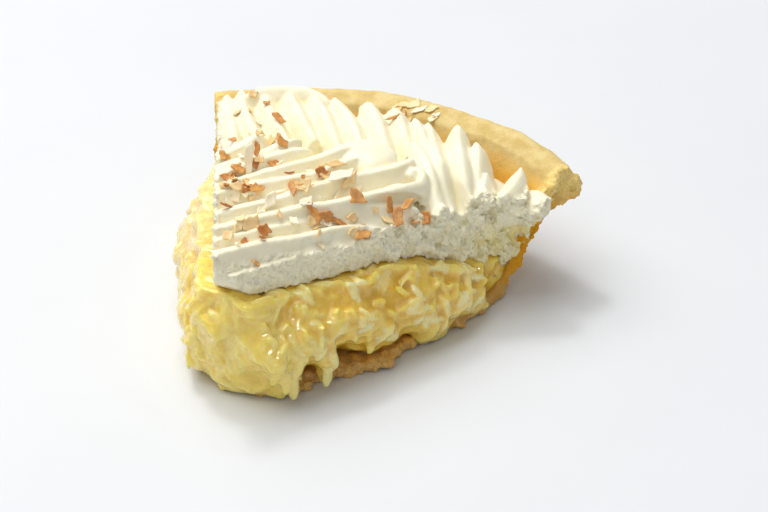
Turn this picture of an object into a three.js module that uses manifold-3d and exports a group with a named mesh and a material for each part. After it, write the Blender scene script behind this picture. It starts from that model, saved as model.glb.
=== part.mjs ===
// A slice of coconut cream pie, a sixth of a nine-inch pie: a baked shortcrust shell, lumpy coconut custard
// that has slumped out past both cuts, and whipped cream piped through a star nozzle, strewn with toasted
// coconut flakes. Millimetres, +Z up. The slice stands on the flat underside of its crust.
//
// Everything is laid out round the pie's own axis: the slice's bisector runs along +Y from it, the right cut
// lies on the +X side and the left cut on the -X side. Each finished solid is then moved so that the slice's
// middle is over the origin.

import * as THREE from 'three';
import { mergeVertices } from 'three/addons/utils/BufferGeometryUtils.js';
import Module from 'manifold-3d';

const wasm = await Module();
wasm.setup();

const { degToRad, lerp, radToDeg, smoothstep } = THREE.MathUtils;
const TURN = 2 * Math.PI;

// ---------- driving dimensions ----------

const GAP = 0.3;                     // clearance between neighbouring pieces
const CREASE = 0.15;                 // relief finer than this is smoothed away
const PIPING_CREASE = 0.3;           // and on the cream, before it is fitted to its neighbours
const HALF_ANGLE = degToRad(30);     // bisector to each cut
const SLICE_CENTRE = [-0.7, 60.4];   // middle of the slice's plan box, from the pie's axis

// the shell
const RIM_RADIUS = 118;
const RIM_TOP = 35.2;
const RIM_UNDERSIDE = 24.6;
const BASE_RADIUS = 94;
const BASE_THICKNESS = 4;
const WALL_THICKNESS = 4.6;          // measured level
const WALL_LEAN = 0.568;             // outward run of the wall for each millimetre of height
const LATHE_STEPS = 180;             // two degrees each
const RIM_PROUD = 2.2;               // how far the left end of the wall stands past the cream
const CRUST_TIP = 11;                // from the axis to the crust's blunt tip, along each cut
const OUTLINE_STEP = 3.6;

// how far the cracked base is pushed out past the right cut: along it, and out
const BASE_SPREAD = [[5, 0], [11, 2.4], [17, 6.6], [20, 7], [29, 5.4], [34, 7.2], [42, 9.2], [48, 8.6],
  [58, 5.4], [70, 4.2], [75, 5], [82, 3], [92, 0]];
// how far the rim is raised or pressed down: degrees from the bisector, to the right, and up
const RIM_RISE = [[-60, 0], [-30, -1.3], [-20, 0.2], [-12, 1.4], [-6, 2.5], [6, 2.9], [18, 3], [24, 2.3],
  [31, 1.2], [60, 0]];

// the custard
const CUSTARD_TIP_TOP = 32.3;
const CUSTARD_TOP = 27;
const SLUMP_RIGHT = 9.5;             // widest bulge past the right cut
const SLUMP_LEFT = 12;
const CUSTARD_SAG = 13;              // drop of the top beside the wall at the right cut
const LUMP = 1.5;                    // height of the custard's lumps
const SHREDS = 44;
const SHRED_LENGTHS = [6, 12.5];
const SHRED_WIDTHS = [1.7, 3];
const SHRED_THICKNESSES = [0.9, 1.4];
const SHRED_TIP = degToRad(20);      // most that a shred leans out of the face

// the cream
const CREAM_FLOOR = 9;
const PAD_TOP = 40.3;                // level of the cream between the ridges at the tip
const PAD_FALL = 0.06;               // fall of that level for each millimetre towards the rim
const RIDGE_STEP = 6;
const RIDGE_LEAD = 8;                // run of a ridge past the left cut, before it is trimmed
const RIDGE_END = 5;                 // length of a ridge's rounded end
const CURL_STEP = 2.2;
const PETAL_HALF = 5.2;              // half a petal's width
const PETAL_DEPTH = 7.5;             // crest to foot
const PETAL_TIP_DEPTH = 2.4;
const PETAL_STEP = 5.5;

// the flakes
const FLAKE_THICKNESS = 0.8;
const FLAKE_LENGTHS = [3.2, 7.5];
const FLAKE_WIDTHS = [1.6, 3];
const FLAKE_TIP = degToRad(38);      // most that a flake leans along its length
const FLAKE_ROLL = degToRad(25);     // and across it
const FLAKE_RISE = 0.35;             // a flake's middle above the surface

// ---------- small tools ----------

// repeatable draws between 0 and 1
function drawsFrom(seed) {
  let state = seed >>> 0;
  return () => {
    state = (Math.imul(state, 1664525) + 1013904223) >>> 0;
    return state / 4294967296;
  };
}

// smooth unevenness between about -1 and 1, with humps about one wavelength apart
function uneven(x, y, z, wavelength) {
  const k = TURN / wavelength;
  const a = Math.sin(k * (0.8 * x + 0.6 * y + 0.2 * z) + 1.3);
  const b = Math.sin(k * 1.27 * (-0.5 * x + 0.75 * y + 0.6 * z) + 4.1);
  const c = Math.sin(k * 0.91 * (0.3 * x - 0.5 * y + 0.9 * z) + 2.2);
  return (a + b + c) / 3;
}

// a point in plan: along a cut from the pie's axis, and out past it (side is 1 right, -1 left)
function byCut(side, along, out) {
  const x = side * (Math.sin(HALF_ANGLE) * along + Math.cos(HALF_ANGLE) * out);
  const y = Math.cos(HALF_ANGLE) * along - Math.sin(HALF_ANGLE) * out;
  return new THREE.Vector2(x, y);
}

// how far a point in plan lies past a cut
function pastCut(side, x, y) {
  return side * Math.cos(HALF_ANGLE) * x - Math.sin(HALF_ANGLE) * y;
}

// points at even steps from one value to another, both included
function steps(from, to, step) {
  const count = Math.max(1, Math.round(Math.abs(to - from) / step));
  return Array.from({ length: count + 1 }, (_, i) => lerp(from, to, i / count));
}

// a value between those of a table, which hold on past its two ends
function between(table, x) {
  const next = table.findIndex(([place]) => place > x);
  if (next < 1) return (next < 0 ? table.at(-1) : table[0])[1];
  const [[low, first], [high, second]] = table.slice(next - 1, next + 1);
  return lerp(first, second, (x - low) / (high - low));
}

// the radius of the wall's inner face at a height
function wallRadius(z) {
  return BASE_RADIUS - WALL_THICKNESS + WALL_LEAN * (z - 2);
}

// an outline moved outwards by a distance, point by point (the outline runs anticlockwise)
function grown(outline, distance) {
  const count = outline.length;
  return outline.map((point, i) => {
    const before = outline[(i + count - 1) % count];
    const after = outline[(i + 1) % count];
    const along = after.clone().sub(before).normalize();
    return new THREE.Vector2(point.x + along.y * distance, point.y - along.x * distance);
  });
}

// ---------- solids ----------

// a closed solid from a geometry
function solidOf(geometry) {
  const bare = geometry.clone();
  bare.deleteAttribute('normal');
  bare.deleteAttribute('uv');
  const merged = mergeVertices(bare, 1e-3);
  const vertProperties = new Float32Array(merged.attributes.position.array);
  const triVerts = new Uint32Array(merged.index.array);
  return new wasm.Manifold(new wasm.Mesh({ numProp: 3, vertProperties, triVerts }));
}

// the geometry of a solid
function geometryOf(solid) {
  const mesh = solid.getMesh();
  const geometry = new THREE.BufferGeometry();
  geometry.setAttribute('position', new THREE.BufferAttribute(new Float32Array(mesh.vertProperties), 3));
  geometry.setIndex(new THREE.BufferAttribute(new Uint32Array(mesh.triVerts), 1));
  geometry.computeVertexNormals();
  return geometry;
}

// the largest of some solids
function largestOf(solids) {
  return solids.reduce((best, solid) => (solid.volume() > best.volume() ? solid : best));
}

// the largest piece of a solid, without the scraps that a cut leaves
function largest(solid) {
  return largestOf(solid.decompose());
}

// a finished geometry in the part's frame: the slice's middle over the origin, and near-flat creases
// smoothed away. Welding points closer than a micron can pinch off a scrap, so that is done until none is.
function finished(solid) {
  let geometry = geometryOf(solid.simplify(CREASE)).translate(-SLICE_CENTRE[0], -SLICE_CENTRE[1], 0);
  let pieces = solidOf(geometry).decompose();
  while (pieces.length > 1) {
    geometry = geometryOf(largestOf(pieces));
    pieces = solidOf(geometry).decompose();
  }
  return geometry;
}

function joined(solids) {
  return solids.reduce((whole, solid) => whole.add(solid));
}

// a closed skin through rings of equal count, each end closed to its ring's middle or to a given point
function loft(rings, firstMiddle, lastMiddle) {
  const count = rings[0].length;
  const middleOf = (ring) => ring.reduce((sum, p) => sum.add(p), new THREE.Vector3()).divideScalar(count);
  const points = rings.flat();
  const first = points.push(firstMiddle ?? middleOf(rings[0])) - 1;
  const last = points.push(lastMiddle ?? middleOf(rings.at(-1))) - 1;
  const faces = [];
  for (let i = 0; i < count; i += 1) {
    const j = (i + 1) % count;
    faces.push(first, j, i);
    for (let level = 0; level < rings.length - 1; level += 1) {
      const low = level * count;
      const high = low + count;
      faces.push(low + i, low + j, high + j, low + i, high + j, high + i);
    }
    const top = (rings.length - 1) * count;
    faces.push(top + i, top + j, last);
  }
  const geometry = new THREE.BufferGeometry().setFromPoints(points);
  geometry.setIndex(faces);
  return geometry;
}

// moves every point of a geometry by a function of its place
function reshaped(geometry, move) {
  const place = geometry.attributes.position;
  const point = new THREE.Vector3();
  for (let i = 0; i < place.count; i += 1) {
    move(point.fromBufferAttribute(place, i));
    place.setXYZ(i, point.x, point.y, point.z);
  }
  return geometry;
}

// ---------- the crust ----------

// section of the shell from the axis out and back, as radius and height
function shellSection() {
  const lean = (z, inner) => new THREE.Vector2(wallRadius(z) + (inner ? 0 : WALL_THICKNESS), z);
  const roll = new THREE.EllipseCurve(RIM_RADIUS - 5, (RIM_TOP + RIM_UNDERSIDE) / 2,
    5, (RIM_TOP - RIM_UNDERSIDE) / 2, -Math.PI / 2, Math.PI * 0.62, false);
  return [
    new THREE.Vector2(0, 0),
    new THREE.Vector2(BASE_RADIUS * 0.5, 0),
    new THREE.Vector2(BASE_RADIUS - 2.5, 0),
    lean(1.2, false),
    lean(8, false),
    lean(16, false),
    lean(RIM_UNDERSIDE - 3, false),
    new THREE.Vector2(wallRadius(RIM_UNDERSIDE) + WALL_THICKNESS + 1, RIM_UNDERSIDE - 0.2),
    ...roll.getPoints(9),
    new THREE.Vector2(RIM_RADIUS - 10.5, RIM_TOP - 1.6),
    lean(RIM_TOP - 5, true),
    lean(22, true),
    lean(13, true),
    lean(BASE_THICKNESS + 3, true),
    new THREE.Vector2(wallRadius(BASE_THICKNESS) - 3, BASE_THICKNESS),
    new THREE.Vector2(BASE_RADIUS * 0.5, BASE_THICKNESS),
    new THREE.Vector2(0, BASE_THICKNESS),
  ];
}

// the rim is uneven by hand: it wanders in and out and up and down a little
function handMade(point) {
  const radius = Math.hypot(point.x, point.y);
  const share = smoothstep(point.z, 4, RIM_UNDERSIDE);
  const out = share * (0.8 * uneven(point.x, point.y, 0, 46) + 0.45 * uneven(point.x, point.y, point.z, 11));
  const scale = radius > 1 ? (radius + out) / radius : 1;
  const rise = between(RIM_RISE, radToDeg(Math.atan2(point.x, point.y)));
  const up = smoothstep(point.z, 20, RIM_TOP) * (rise + 0.3 * uneven(point.x, point.y, 9, 31));
  point.set(point.x * scale, point.y * scale, point.z + up);
}

// how far the crust's broken edge lies past a cut
function crustEdge(side, along) {
  const chips = 0.75 * uneven(along, 0, side * 7, 7.3) + 0.5 * uneven(along, 3, side * 5, 3.9);
  if (side < 0) return RIM_PROUD * smoothstep(along, 78, 96) + 0.6 * chips;
  return between(BASE_SPREAD, along) + 0.7 * chips * (1 + smoothstep(along, 98, 108));
}

// plan outline of the crust's slice, anticlockwise from the blunt tip
function crustOutline() {
  const reach = RIM_RADIUS + 8;
  const edgeOf = (side, alongs) => alongs.map((along) => byCut(side, along, crustEdge(side, along)));
  const right = edgeOf(1, steps(CRUST_TIP, reach, OUTLINE_STEP));
  const left = edgeOf(-1, steps(reach, CRUST_TIP, OUTLINE_STEP));
  return [...right, new THREE.Vector2(0, reach + 12), ...left, new THREE.Vector2(2, 0.8 * CRUST_TIP)];
}

// the shell's slice, grown by a distance all round to cut its neighbours clear of it
function crustSolid(grow) {
  const section = grow ? grown(shellSection(), grow) : shellSection();
  section[0].x = 0;
  section.at(-1).x = 0;
  const lathe = new THREE.LatheGeometry(section, LATHE_STEPS).rotateX(Math.PI / 2);
  const shell = solidOf(reshaped(lathe, handMade));
  const outline = new THREE.Shape(grow ? grown(crustOutline(), grow) : crustOutline());
  const height = RIM_TOP + 10;
  const block = new THREE.ExtrudeGeometry(outline, { depth: height, bevelEnabled: false, steps: 1 });
  return largest(shell.intersect(solidOf(block.translate(0, 0, -4))));
}

// rough lumps of pastry: small stones with uneven sides
function crumb(place, size, seed) {
  const stone = new THREE.IcosahedronGeometry(size, 0);
  reshaped(stone, (p) => p.multiplyScalar(1 + 0.22 * uneven(p.x + seed, p.y, p.z, size * 1.7)));
  return solidOf(stone.translate(place.x, place.y, place.z));
}

// bites out of the broken right end of the rim, and crumbs along the cracked edge of the base
const RIM_BITES = [
  { along: 109.5, out: 2, z: 30.5, size: 3.2 },
  { along: 104, out: 2.6, z: 25, size: 2.8 },
];

function bittenCrust() {
  return RIM_BITES.reduce((crust, { along, out, z, size }, i) => {
    const at = byCut(1, along, out);
    return crust.subtract(crumb(new THREE.Vector3(at.x, at.y, z), size, i));
  }, crustSolid(0));
}

function edgeCrumbs(grow) {
  const draw = drawsFrom(11);
  return steps(14, 84, 5).map((along) => {
    const size = lerp(1.1, 1.9, draw());
    const at = byCut(1, along + 2 * draw(), crustEdge(1, along) - 0.5);
    const place = new THREE.Vector3(at.x, at.y, lerp(size, 3.2, draw()));
    return crumb(place, size + grow, along);
  });
}

// ---------- the custard ----------

// height of the custard's top, under the cream and on the shelf in front of it
function custardTop(x, y) {
  const radius = Math.hypot(x, y);
  const crown = CUSTARD_TOP + (CUSTARD_TIP_TOP - CUSTARD_TOP) * Math.max(0, 1 - radius / 45);
  const nearCut = 1 - smoothstep(-pastCut(1, x, y), 0, 30);
  return crown - CUSTARD_SAG * smoothstep(radius, 48, 92) * nearCut;
}

// share of the slump at a height, from 0 at the floor to 1 at the top
const BULGE_HEIGHTS = [0, 0.08, 0.18, 0.32, 0.47, 0.62, 0.76, 0.88, 0.96, 1];

function bulge(share, top) {
  const belly = Math.sin(Math.PI * Math.min(1, 0.28 + 0.55 * share));
  return lerp(belly, top, smoothstep(share, 0.55, 1)) - 0.12 * (1 - smoothstep(share, 0, 0.12));
}

function slump(side, along, share) {
  const widest = side > 0 ? SLUMP_RIGHT : SLUMP_LEFT;
  const faded = 1 - smoothstep(along, 66, 95);
  const soft = 1 + 0.14 * uneven(along, side * 20, 0, 34);
  return widest * faded * soft * bulge(share, side > 0 ? 0.36 : 0.5) - 1 + faded;
}

// where the crust's edge shows under the custard: from and to along the right cut, and how high
const UNDERCUTS = [[8, 11.5, 3.4], [16.5, 24, 4.4], [30, 59, 5.2], [71, 77, 3.5]];

function custardFloor(x, y) {
  const along = Math.sin(HALF_ANGLE) * x + Math.cos(HALF_ANGLE) * y;
  const rise = UNDERCUTS.reduce((sum, [start, end, height]) => {
    return sum + height * smoothstep(along, start - 2, start + 2) * (1 - smoothstep(along, end - 2, end + 2));
  }, 0);
  return GAP + rise * smoothstep(pastCut(1, x, y), 0, 4);
}

// one level of the custard's skin, anticlockwise
function custardRing(share, grow) {
  const reach = lerp(wallRadius(BASE_THICKNESS), wallRadius(CUSTARD_TOP), share) + 2;
  const sides = [1, -1].map((side) => {
    const start = side > 0 ? lerp(12, 8, share) : lerp(16, 11, share);
    return steps(0, 1, 1 / 22).map((t) => {
      const along = lerp(start, reach, t);
      return byCut(side, along, slump(side, along, share));
    });
  });
  const [right, left] = [sides[0], sides[1].reverse()];
  const arc = steps(0, 1, 1 / 8).slice(1, -1).map((t) => {
    const angle = lerp(-HALF_ANGLE, HALF_ANGLE, t);
    return new THREE.Vector2(-reach * Math.sin(angle), reach * Math.cos(angle));
  });
  const tip = steps(0, 1, 1 / 6).slice(1, -1).map((t) => {
    const point = left.at(-1).clone().lerp(right[0], t);
    point.y -= 1.6 * Math.sin(Math.PI * t);
    return point;
  });
  const inside = new THREE.Vector2(0, 50);
  return [...right, ...arc, ...left, ...tip].map((p) => {
    const z = lerp(custardFloor(p.x, p.y), custardTop(p.x, p.y), share);
    const open = 1 - smoothstep(Math.hypot(p.x, p.y), 84, 94);
    const lump = grow + LUMP * open * (uneven(p.x, p.y, z, 15) + 0.7 * uneven(p.y, z, p.x, 8.5));
    const away = p.clone().sub(inside).normalize();
    return new THREE.Vector3(p.x + away.x * lump, p.y + away.y * lump, z);
  });
}

// the bare custard, grown and raised by a distance to cut the cream clear of it
function custardBlock(grow) {
  const rings = BULGE_HEIGHTS.map((share) => custardRing(share, 1.5 * grow));
  const inner = [0.66, 0.33].map((scale) => rings.at(-1).map((p) => {
    const x = p.x * scale;
    const y = lerp(50, p.y, scale);
    return new THREE.Vector3(x, y, custardTop(x, y));
  }));
  const skin = loft([...rings, ...inner], new THREE.Vector3(0, 50, GAP),
    new THREE.Vector3(0, 50, custardTop(0, 50)));
  return solidOf(skin.translate(0, 0, grow));
}

// a strip laid on the custard's face: turned in the face, tipped out of it, set at a place
function laidOnFace(geometry, { side, along, share, turn, tip, lift }) {
  const out = slump(side, along, share) + lift;
  const at = byCut(side, along, out);
  const z = lerp(GAP, custardTop(at.x, at.y), share);
  geometry.rotateZ(turn);
  geometry.rotateX(tip);
  geometry.rotateX(Math.PI / 2);
  geometry.rotateZ(side > 0 ? Math.PI / 2 - HALF_ANGLE : HALF_ANGLE - Math.PI / 2);
  return solidOf(geometry.translate(at.x, at.y, z));
}

// two long shreds that hang bent from the custard over the edge of the base, near the tip
const HANGING_SHREDS = [
  { along: 19, share: 0.2, length: 13, width: 4.2 },
  { along: 26, share: 0.16, length: 9.5, width: 3.6 },
];
const HANGING_THICKNESS = 1.8;
const HANGING_BEND = 0.8;

function hangingShred({ along, share, length, width }) {
  const strip = reshaped(new THREE.BoxGeometry(length, width, HANGING_THICKNESS, 2, 1, 1), (p) => {
    p.z += HANGING_BEND * (1 - (2 * p.x / length) ** 2);
  });
  return laidOnFace(strip, { side: 1, along, share, turn: degToRad(84), tip: 0, lift: 0.6 });
}

function custardShreds() {
  const draw = drawsFrom(29);
  const solids = HANGING_SHREDS.map(hangingShred);
  for (let i = 0; i < SHREDS; i += 1) {
    const side = i % 3 === 2 ? -1 : 1;
    const strip = new THREE.BoxGeometry(
      lerp(...SHRED_LENGTHS, draw()),
      lerp(...SHRED_WIDTHS, draw()),
      lerp(...SHRED_THICKNESSES, draw()),
    );
    solids.push(laidOnFace(strip, {
      side,
      along: lerp(15, 84, draw()),
      share: lerp(0.12, 0.82, draw()),
      turn: Math.PI * draw(),
      tip: lerp(-SHRED_TIP, SHRED_TIP, draw()),
      lift: lerp(-0.5, 0.4, draw()),
    }));
  }
  return solids;
}

// ---------- the cream ----------

function padTop(x, y) {
  return PAD_TOP - PAD_FALL * Math.hypot(x, y);
}

// heights of the cream spread under the piping, and how far it reaches past the wall's inner face at each
const PAD_LEVELS = [[CREAM_FLOOR, 2], [20, 1], [30, -4.5], [PAD_TOP, -18]];

function creamPad() {
  const rings = PAD_LEVELS.map(([z, past]) => {
    const reach = wallRadius(z) + past;
    const right = steps(2, reach, 12).map((along) => byCut(1, along, 4));
    const left = steps(reach, 2, 12).map((along) => byCut(-1, along, 3));
    const arc = steps(-HALF_ANGLE, HALF_ANGLE, degToRad(6)).slice(1, -1).map((angle) => {
      return new THREE.Vector2(-reach * Math.sin(angle), reach * Math.cos(angle));
    });
    return { z, outline: [...right, ...arc, ...left] };
  });
  const count = Math.min(...rings.map(({ outline }) => outline.length));
  const placed = rings.map(({ z, outline }) => {
    const curve = new THREE.Path(outline).getSpacedPoints(count);
    return curve.map((p) => new THREE.Vector3(p.x, p.y, z === PAD_TOP ? padTop(p.x, p.y) : z));
  });
  return solidOf(loft(placed, undefined, new THREE.Vector3(0, 55, padTop(0, 55))));
}

// ridges left by the star nozzle: each one's crest, from the left cut to its far end
const RIDGES = [
  [[-2.5, 3.5, 44.8], [4.5, 15.5, 43.8], [12.5, 27.5, 42], [19, 39, 40], [27, 46.5, 36.5]],
  [[-7, 12, 43.2], [1.5, 22.5, 43.4], [10, 33, 43], [18.5, 44.5, 42], [25, 54, 41.6], [32, 56, 39]],
  [[-9, 14, 45.2], [-1, 23.5, 45.5], [7, 33, 45.6], [14.5, 41, 45.2], [21.5, 51, 44.8], [26.5, 61, 44.2]],
  [[-12, 19.5, 46], [-5, 27, 46.4], [2, 36, 46.6], [7.5, 45.5, 46.6], [13, 53.5, 46.3], [18, 60.5, 45.8],
    [21.5, 68, 45], [20, 75.5, 43]],
  [[-17, 28, 46.2], [-9, 37.5, 46.6], [0, 45.5, 46.8], [5.5, 52.5, 46.6], [8, 60, 46.4], [11, 69, 45]],
  [[-17.5, 30.5, 46], [-11, 42, 46.6], [-5.5, 49.5, 46.8], [0, 57, 46.8], [4.5, 66, 46.4], [8, 73, 45]],
  [[-20.5, 34.5, 46], [-17.5, 43.5, 46.3], [-14, 50, 46.5], [-9.5, 57, 46.6], [-5.5, 63, 45.6]],
  [[-22.5, 38.5, 45.6], [-21, 45, 45.8], [-15.5, 51.5, 46.3], [-12.5, 60, 46.6], [-11.5, 67, 45.8]],
  [[-27, 45.5, 45], [-25.5, 50.5, 45.2], [-22.5, 57.5, 45.6], [-23.5, 66, 44.5]],
];
// out from the crest and down from it: steep on the outer flank, easy on the inner one
const RIDGE_SECTION = [[0.4, 0.2], [2.2, 4.5], [6.2, 9], [-7.4, 9], [-6.2, 4.4], [-3.4, 1.2], [-0.8, 0]];

// the curl that ends the third ridge
const CURL = [[22.5, 53, 44.8], [26.6, 60.9, 44.5], [27.5, 63.6, 44.5], [26.8, 66.4, 44.5],
  [24.7, 67.8, 44.4], [23.2, 66.6, 44.2], [23.6, 64.6, 43.6]];
const CURL_SECTION = [[0.7, 0.2], [1.6, 1.8], [1.9, 6], [-1.9, 6], [-1.6, 1.8], [-0.7, 0.2]];

// petals over the rim's inner slope: each one's crest, from its root to its pointed tip
const PETALS = [
  [[41, 57, 39], [33.5, 63.5, 42.4], [27, 71, 43], [20.5, 78, 43.4], [15.5, 82.5, 43]],
  [[39, 63.5, 40.5], [30, 72.5, 43], [22.5, 82.5, 43.2], [14.5, 95, 42.6]],
  [[43, 63, 39.5], [35, 76, 42.6], [28.5, 86, 43], [22.5, 98.5, 42.8]],
  [[42, 71, 40], [35.5, 83.5, 41.5], [31, 92.5, 41.6]],
  [[46, 63, 38], [41.5, 72, 41], [39, 82, 41.2]],
  [[47, 65, 36], [46.8, 76, 40], [46.9, 88, 40.6]],
  [[26, 76, 42.5], [16.5, 87.5, 43.6], [10, 95.5, 42.6]],
  [[17, 79, 43], [9, 89.5, 43.8], [-1, 103, 43]],
  [[12, 75, 44], [2, 88, 44.2], [-8, 100, 43]],
  [[6, 72, 44], [-5, 84.5, 44.4], [-16.5, 96, 43]],
  [[-2, 72, 44], [-13, 84, 44.6], [-24, 96, 43.4]],
  [[-10.5, 73, 44], [-21, 82.5, 44.6], [-32, 94, 43.4]],
  [[-17, 69, 44], [-29, 80, 44], [-38, 91.5, 43]],
  [[-23, 65, 44], [-34.5, 75.5, 43.6], [-44, 89, 42.4]],
  [[-29, 61, 43.5], [-38, 73, 42.6], [-47.5, 86.5, 41]],
];
const PETAL_SECTION = [[0.14, 0], [0.6, 0.36], [1, 1], [-1, 1], [-0.6, 0.36], [-0.14, 0]];

// a lump of cream torn loose against the rim's inner slope: its place along and past the right cut
const TORN_LUMP = { along: 99, out: 2.6, z: 30.4, radius: 5 };
// where the knife spares the cream: along the right cut, height, how far past it, half length, half height
const SPARED = [[99, 30.4, 8.6, 7, 6], [95, 38, 3.6, 7, 4.5]];

// a skin swept along a crest: the section at each station is scaled across and down by functions of how far
// along it lies, in millimetres and as a share
function swept(crest, section, step, across, down) {
  const path = new THREE.CatmullRomCurve3(crest, false, 'centripetal');
  const length = path.getLength();
  const rings = steps(0, length, step).map((d) => {
    const t = d / length;
    const middle = path.getPointAt(t);
    const ahead = path.getTangentAt(t);
    const outward = new THREE.Vector3(ahead.y, -ahead.x, 0).normalize();
    return section.map(([side, fall]) => {
      const place = middle.clone().addScaledVector(outward, side * across(t, d, length));
      place.z -= fall * down(t);
      return place;
    });
  });
  return solidOf(loft(rings));
}

const placesOf = (crest) => crest.map((place) => new THREE.Vector3(...place));

function ridge(crest) {
  const places = placesOf(crest);
  const lead = places[0].clone().sub(places[1]).setLength(RIDGE_LEAD);
  places[0].add(lead);
  const rounded = (t, d, length) => {
    const ending = smoothstep(d, length - RIDGE_END, length);
    return Math.sqrt(Math.max(0.02, 1 - ending ** 2));
  };
  return swept(places, RIDGE_SECTION, RIDGE_STEP, rounded, () => 1);
}

function curl() {
  return swept(placesOf(CURL), CURL_SECTION, CURL_STEP, () => 1, () => 1);
}

// a petal is a flame in plan: widest at its middle, pointed at its tip
function petal(crest) {
  const width = (t) => {
    const swell = lerp(0.7, 1, smoothstep(t, 0, 0.4));
    return PETAL_HALF * swell * Math.sqrt(Math.max(0.004, 1 - Math.max(0, (t - 0.55) / 0.45) ** 1.5));
  };
  const depth = (t) => lerp(PETAL_DEPTH, PETAL_TIP_DEPTH, smoothstep(t, 0.6, 1));
  return swept(placesOf(crest), PETAL_SECTION, PETAL_STEP, width, depth);
}

function tornLump() {
  const { along, out, z, radius } = TORN_LUMP;
  const at = byCut(1, along, out);
  const lump = reshaped(new THREE.IcosahedronGeometry(radius, 1), (p) => {
    p.multiplyScalar(1 + 0.24 * uneven(p.x + 1, p.y, p.z, 1.5 * radius));
  });
  return solidOf(lump.translate(at.x, at.y, z));
}

// the knife's wedge, from under the cream to over it: its blunt tip leans back, and its right face is torn,
// more so towards the wall, where the blade dragged
const WEDGE_HEIGHTS = [CREAM_FLOOR - 3, 52];
const WEDGE_REACH = 112;
const WEDGE_TIPS = [7.4, 3.2];       // from the axis to the blunt tip, low and high
const TEARS = [0.5, 2.6];            // depth of the tears at the tip and at the wall

function creamWedge() {
  const bulging = (along, z) => SPARED.reduce((sum, [middle, height, out, length, tall]) => {
    return sum + out * Math.exp(-(((along - middle) / length) ** 2) - ((z - height) / tall) ** 2);
  }, 0);
  const tear = (along, z) => {
    const torn = lerp(...TEARS, smoothstep(along, 40, 62));
    return bulging(along, z) - torn * (0.5 + 0.5 * uneven(along, z, 0, 9)) + 0.35 * uneven(z, along, 4, 5);
  };
  const rings = steps(...WEDGE_HEIGHTS, 4.3).map((z) => {
    const tip = lerp(...WEDGE_TIPS, smoothstep(z, 30, 46));
    const right = steps(0, 1, 1 / 24).map((t) => {
      const along = lerp(tip, WEDGE_REACH, t);
      return byCut(1, along, tear(along, z));
    });
    const left = steps(1, 0, 1 / 12).map((t) => {
      const along = lerp(tip, WEDGE_REACH, t);
      return byCut(-1, along, 0.3 * uneven(along, z, 6, 13));
    });
    return [...right, ...left].map((p) => new THREE.Vector3(p.x, p.y, z));
  });
  const [low, high] = WEDGE_HEIGHTS.map((z) => new THREE.Vector3(0, 60, z));
  return solidOf(loft(rings, low, high));
}

// ---------- the flakes ----------

// handfuls of flakes on the cream: middle, spread along and across, and how many
const HANDFULS = [
  { at: [-17, 42], spread: [9, 7], count: 10 },
  { at: [-10, 33], spread: [8, 5], count: 5 },
  { at: [1, 42], spread: [7, 8], count: 6 },
  { at: [13, 50], spread: [8, 7], count: 5 },
  { at: [16, 32], spread: [7, 4], count: 5 },
  { at: [34, 42], spread: [7, 6], count: 6 },
  { at: [0, 17], spread: [6, 6], count: 6 },
  { at: [-22, 70], spread: [11, 9], count: 6 },
  { at: [5, 88], spread: [5, 3], count: 2 },
];
const RIM_HANDFUL = { at: [-1, 113], spread: [7, 2.5], count: 7 };

// the height of a surface below a point in plan, or nothing where there is none
function heightOn(geometry) {
  const mesh = new THREE.Mesh(geometry, new THREE.MeshBasicMaterial({ side: THREE.DoubleSide }));
  const ray = new THREE.Raycaster();
  const down = new THREE.Vector3(0, 0, -1);
  return (x, y) => {
    ray.set(new THREE.Vector3(x, y, 90), down);
    const [hit] = ray.intersectObject(mesh);
    return hit ? hit.point.z : undefined;
  };
}

// flakes thrown on a surface: thin chips, each resting on its lower side and sunk in a little
function flakesOn(geometry, handfuls, seed, keep) {
  const draw = drawsFrom(seed);
  const height = heightOn(geometry);
  const solids = [];
  for (const { at, spread, count } of handfuls) {
    for (let i = 0; i < count; i += 1) {
      const x = at[0] + spread[0] * (draw() + draw() - 1);
      const y = at[1] + spread[1] * (draw() + draw() - 1);
      const length = lerp(...FLAKE_LENGTHS, draw() * draw() + 0.2);
      const width = lerp(...FLAKE_WIDTHS, draw());
      const turn = TURN * draw();
      const tip = lerp(-FLAKE_TIP, FLAKE_TIP, draw());
      const roll = lerp(-FLAKE_ROLL, FLAKE_ROLL, draw());
      const z = height(x, y);
      if (z === undefined || !keep(x, y, length / 2 + 0.6)) continue;
      const chip = new THREE.BoxGeometry(length, width, FLAKE_THICKNESS);
      chip.rotateX(roll).rotateY(tip).rotateZ(turn).translate(x, y, z + FLAKE_RISE);
      solids.push(solidOf(chip));
    }
  }
  return solids;
}

// clear of both cuts and of the rim
function onCream(x, y, margin) {
  const inside = pastCut(1, x, y) < -margin && pastCut(-1, x, y) < -margin;
  return inside && Math.hypot(x, y) < 92 - margin;
}

// ---------- the slice ----------

const bareCrust = joined([bittenCrust(), ...edgeCrumbs(0)]);
const crustCutter = joined([crustSolid(GAP), ...edgeCrumbs(1.6 * GAP)]);
const rimFlakes = flakesOn(geometryOf(bareCrust), [RIM_HANDFUL], 5, (x, y) => Math.hypot(x, y) > 109);
const crust = joined([bareCrust, ...rimFlakes]);

const custardBody = custardBlock(0).add(joined(custardShreds()));
const shelter = solidOf(new THREE.BoxGeometry(300, 300, 60).translate(0, 0, -30 + GAP));
const clearCrust = joined([crustCutter, shelter]);

const strokes = [...RIDGES.map(ridge), curl(), ...PETALS.map(petal), tornLump()];
const piping = joined([creamPad(), ...strokes]).intersect(creamWedge()).simplify(PIPING_CREASE);
const bareCream = largest(piping.subtract(custardBlock(GAP)).subtract(crustCutter));
const creamFlakes = flakesOn(geometryOf(bareCream), HANDFULS, 17, onCream);
const cream = joined([bareCream, ...creamFlakes]);
const custard = custardBody.subtract(clearCrust);

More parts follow.
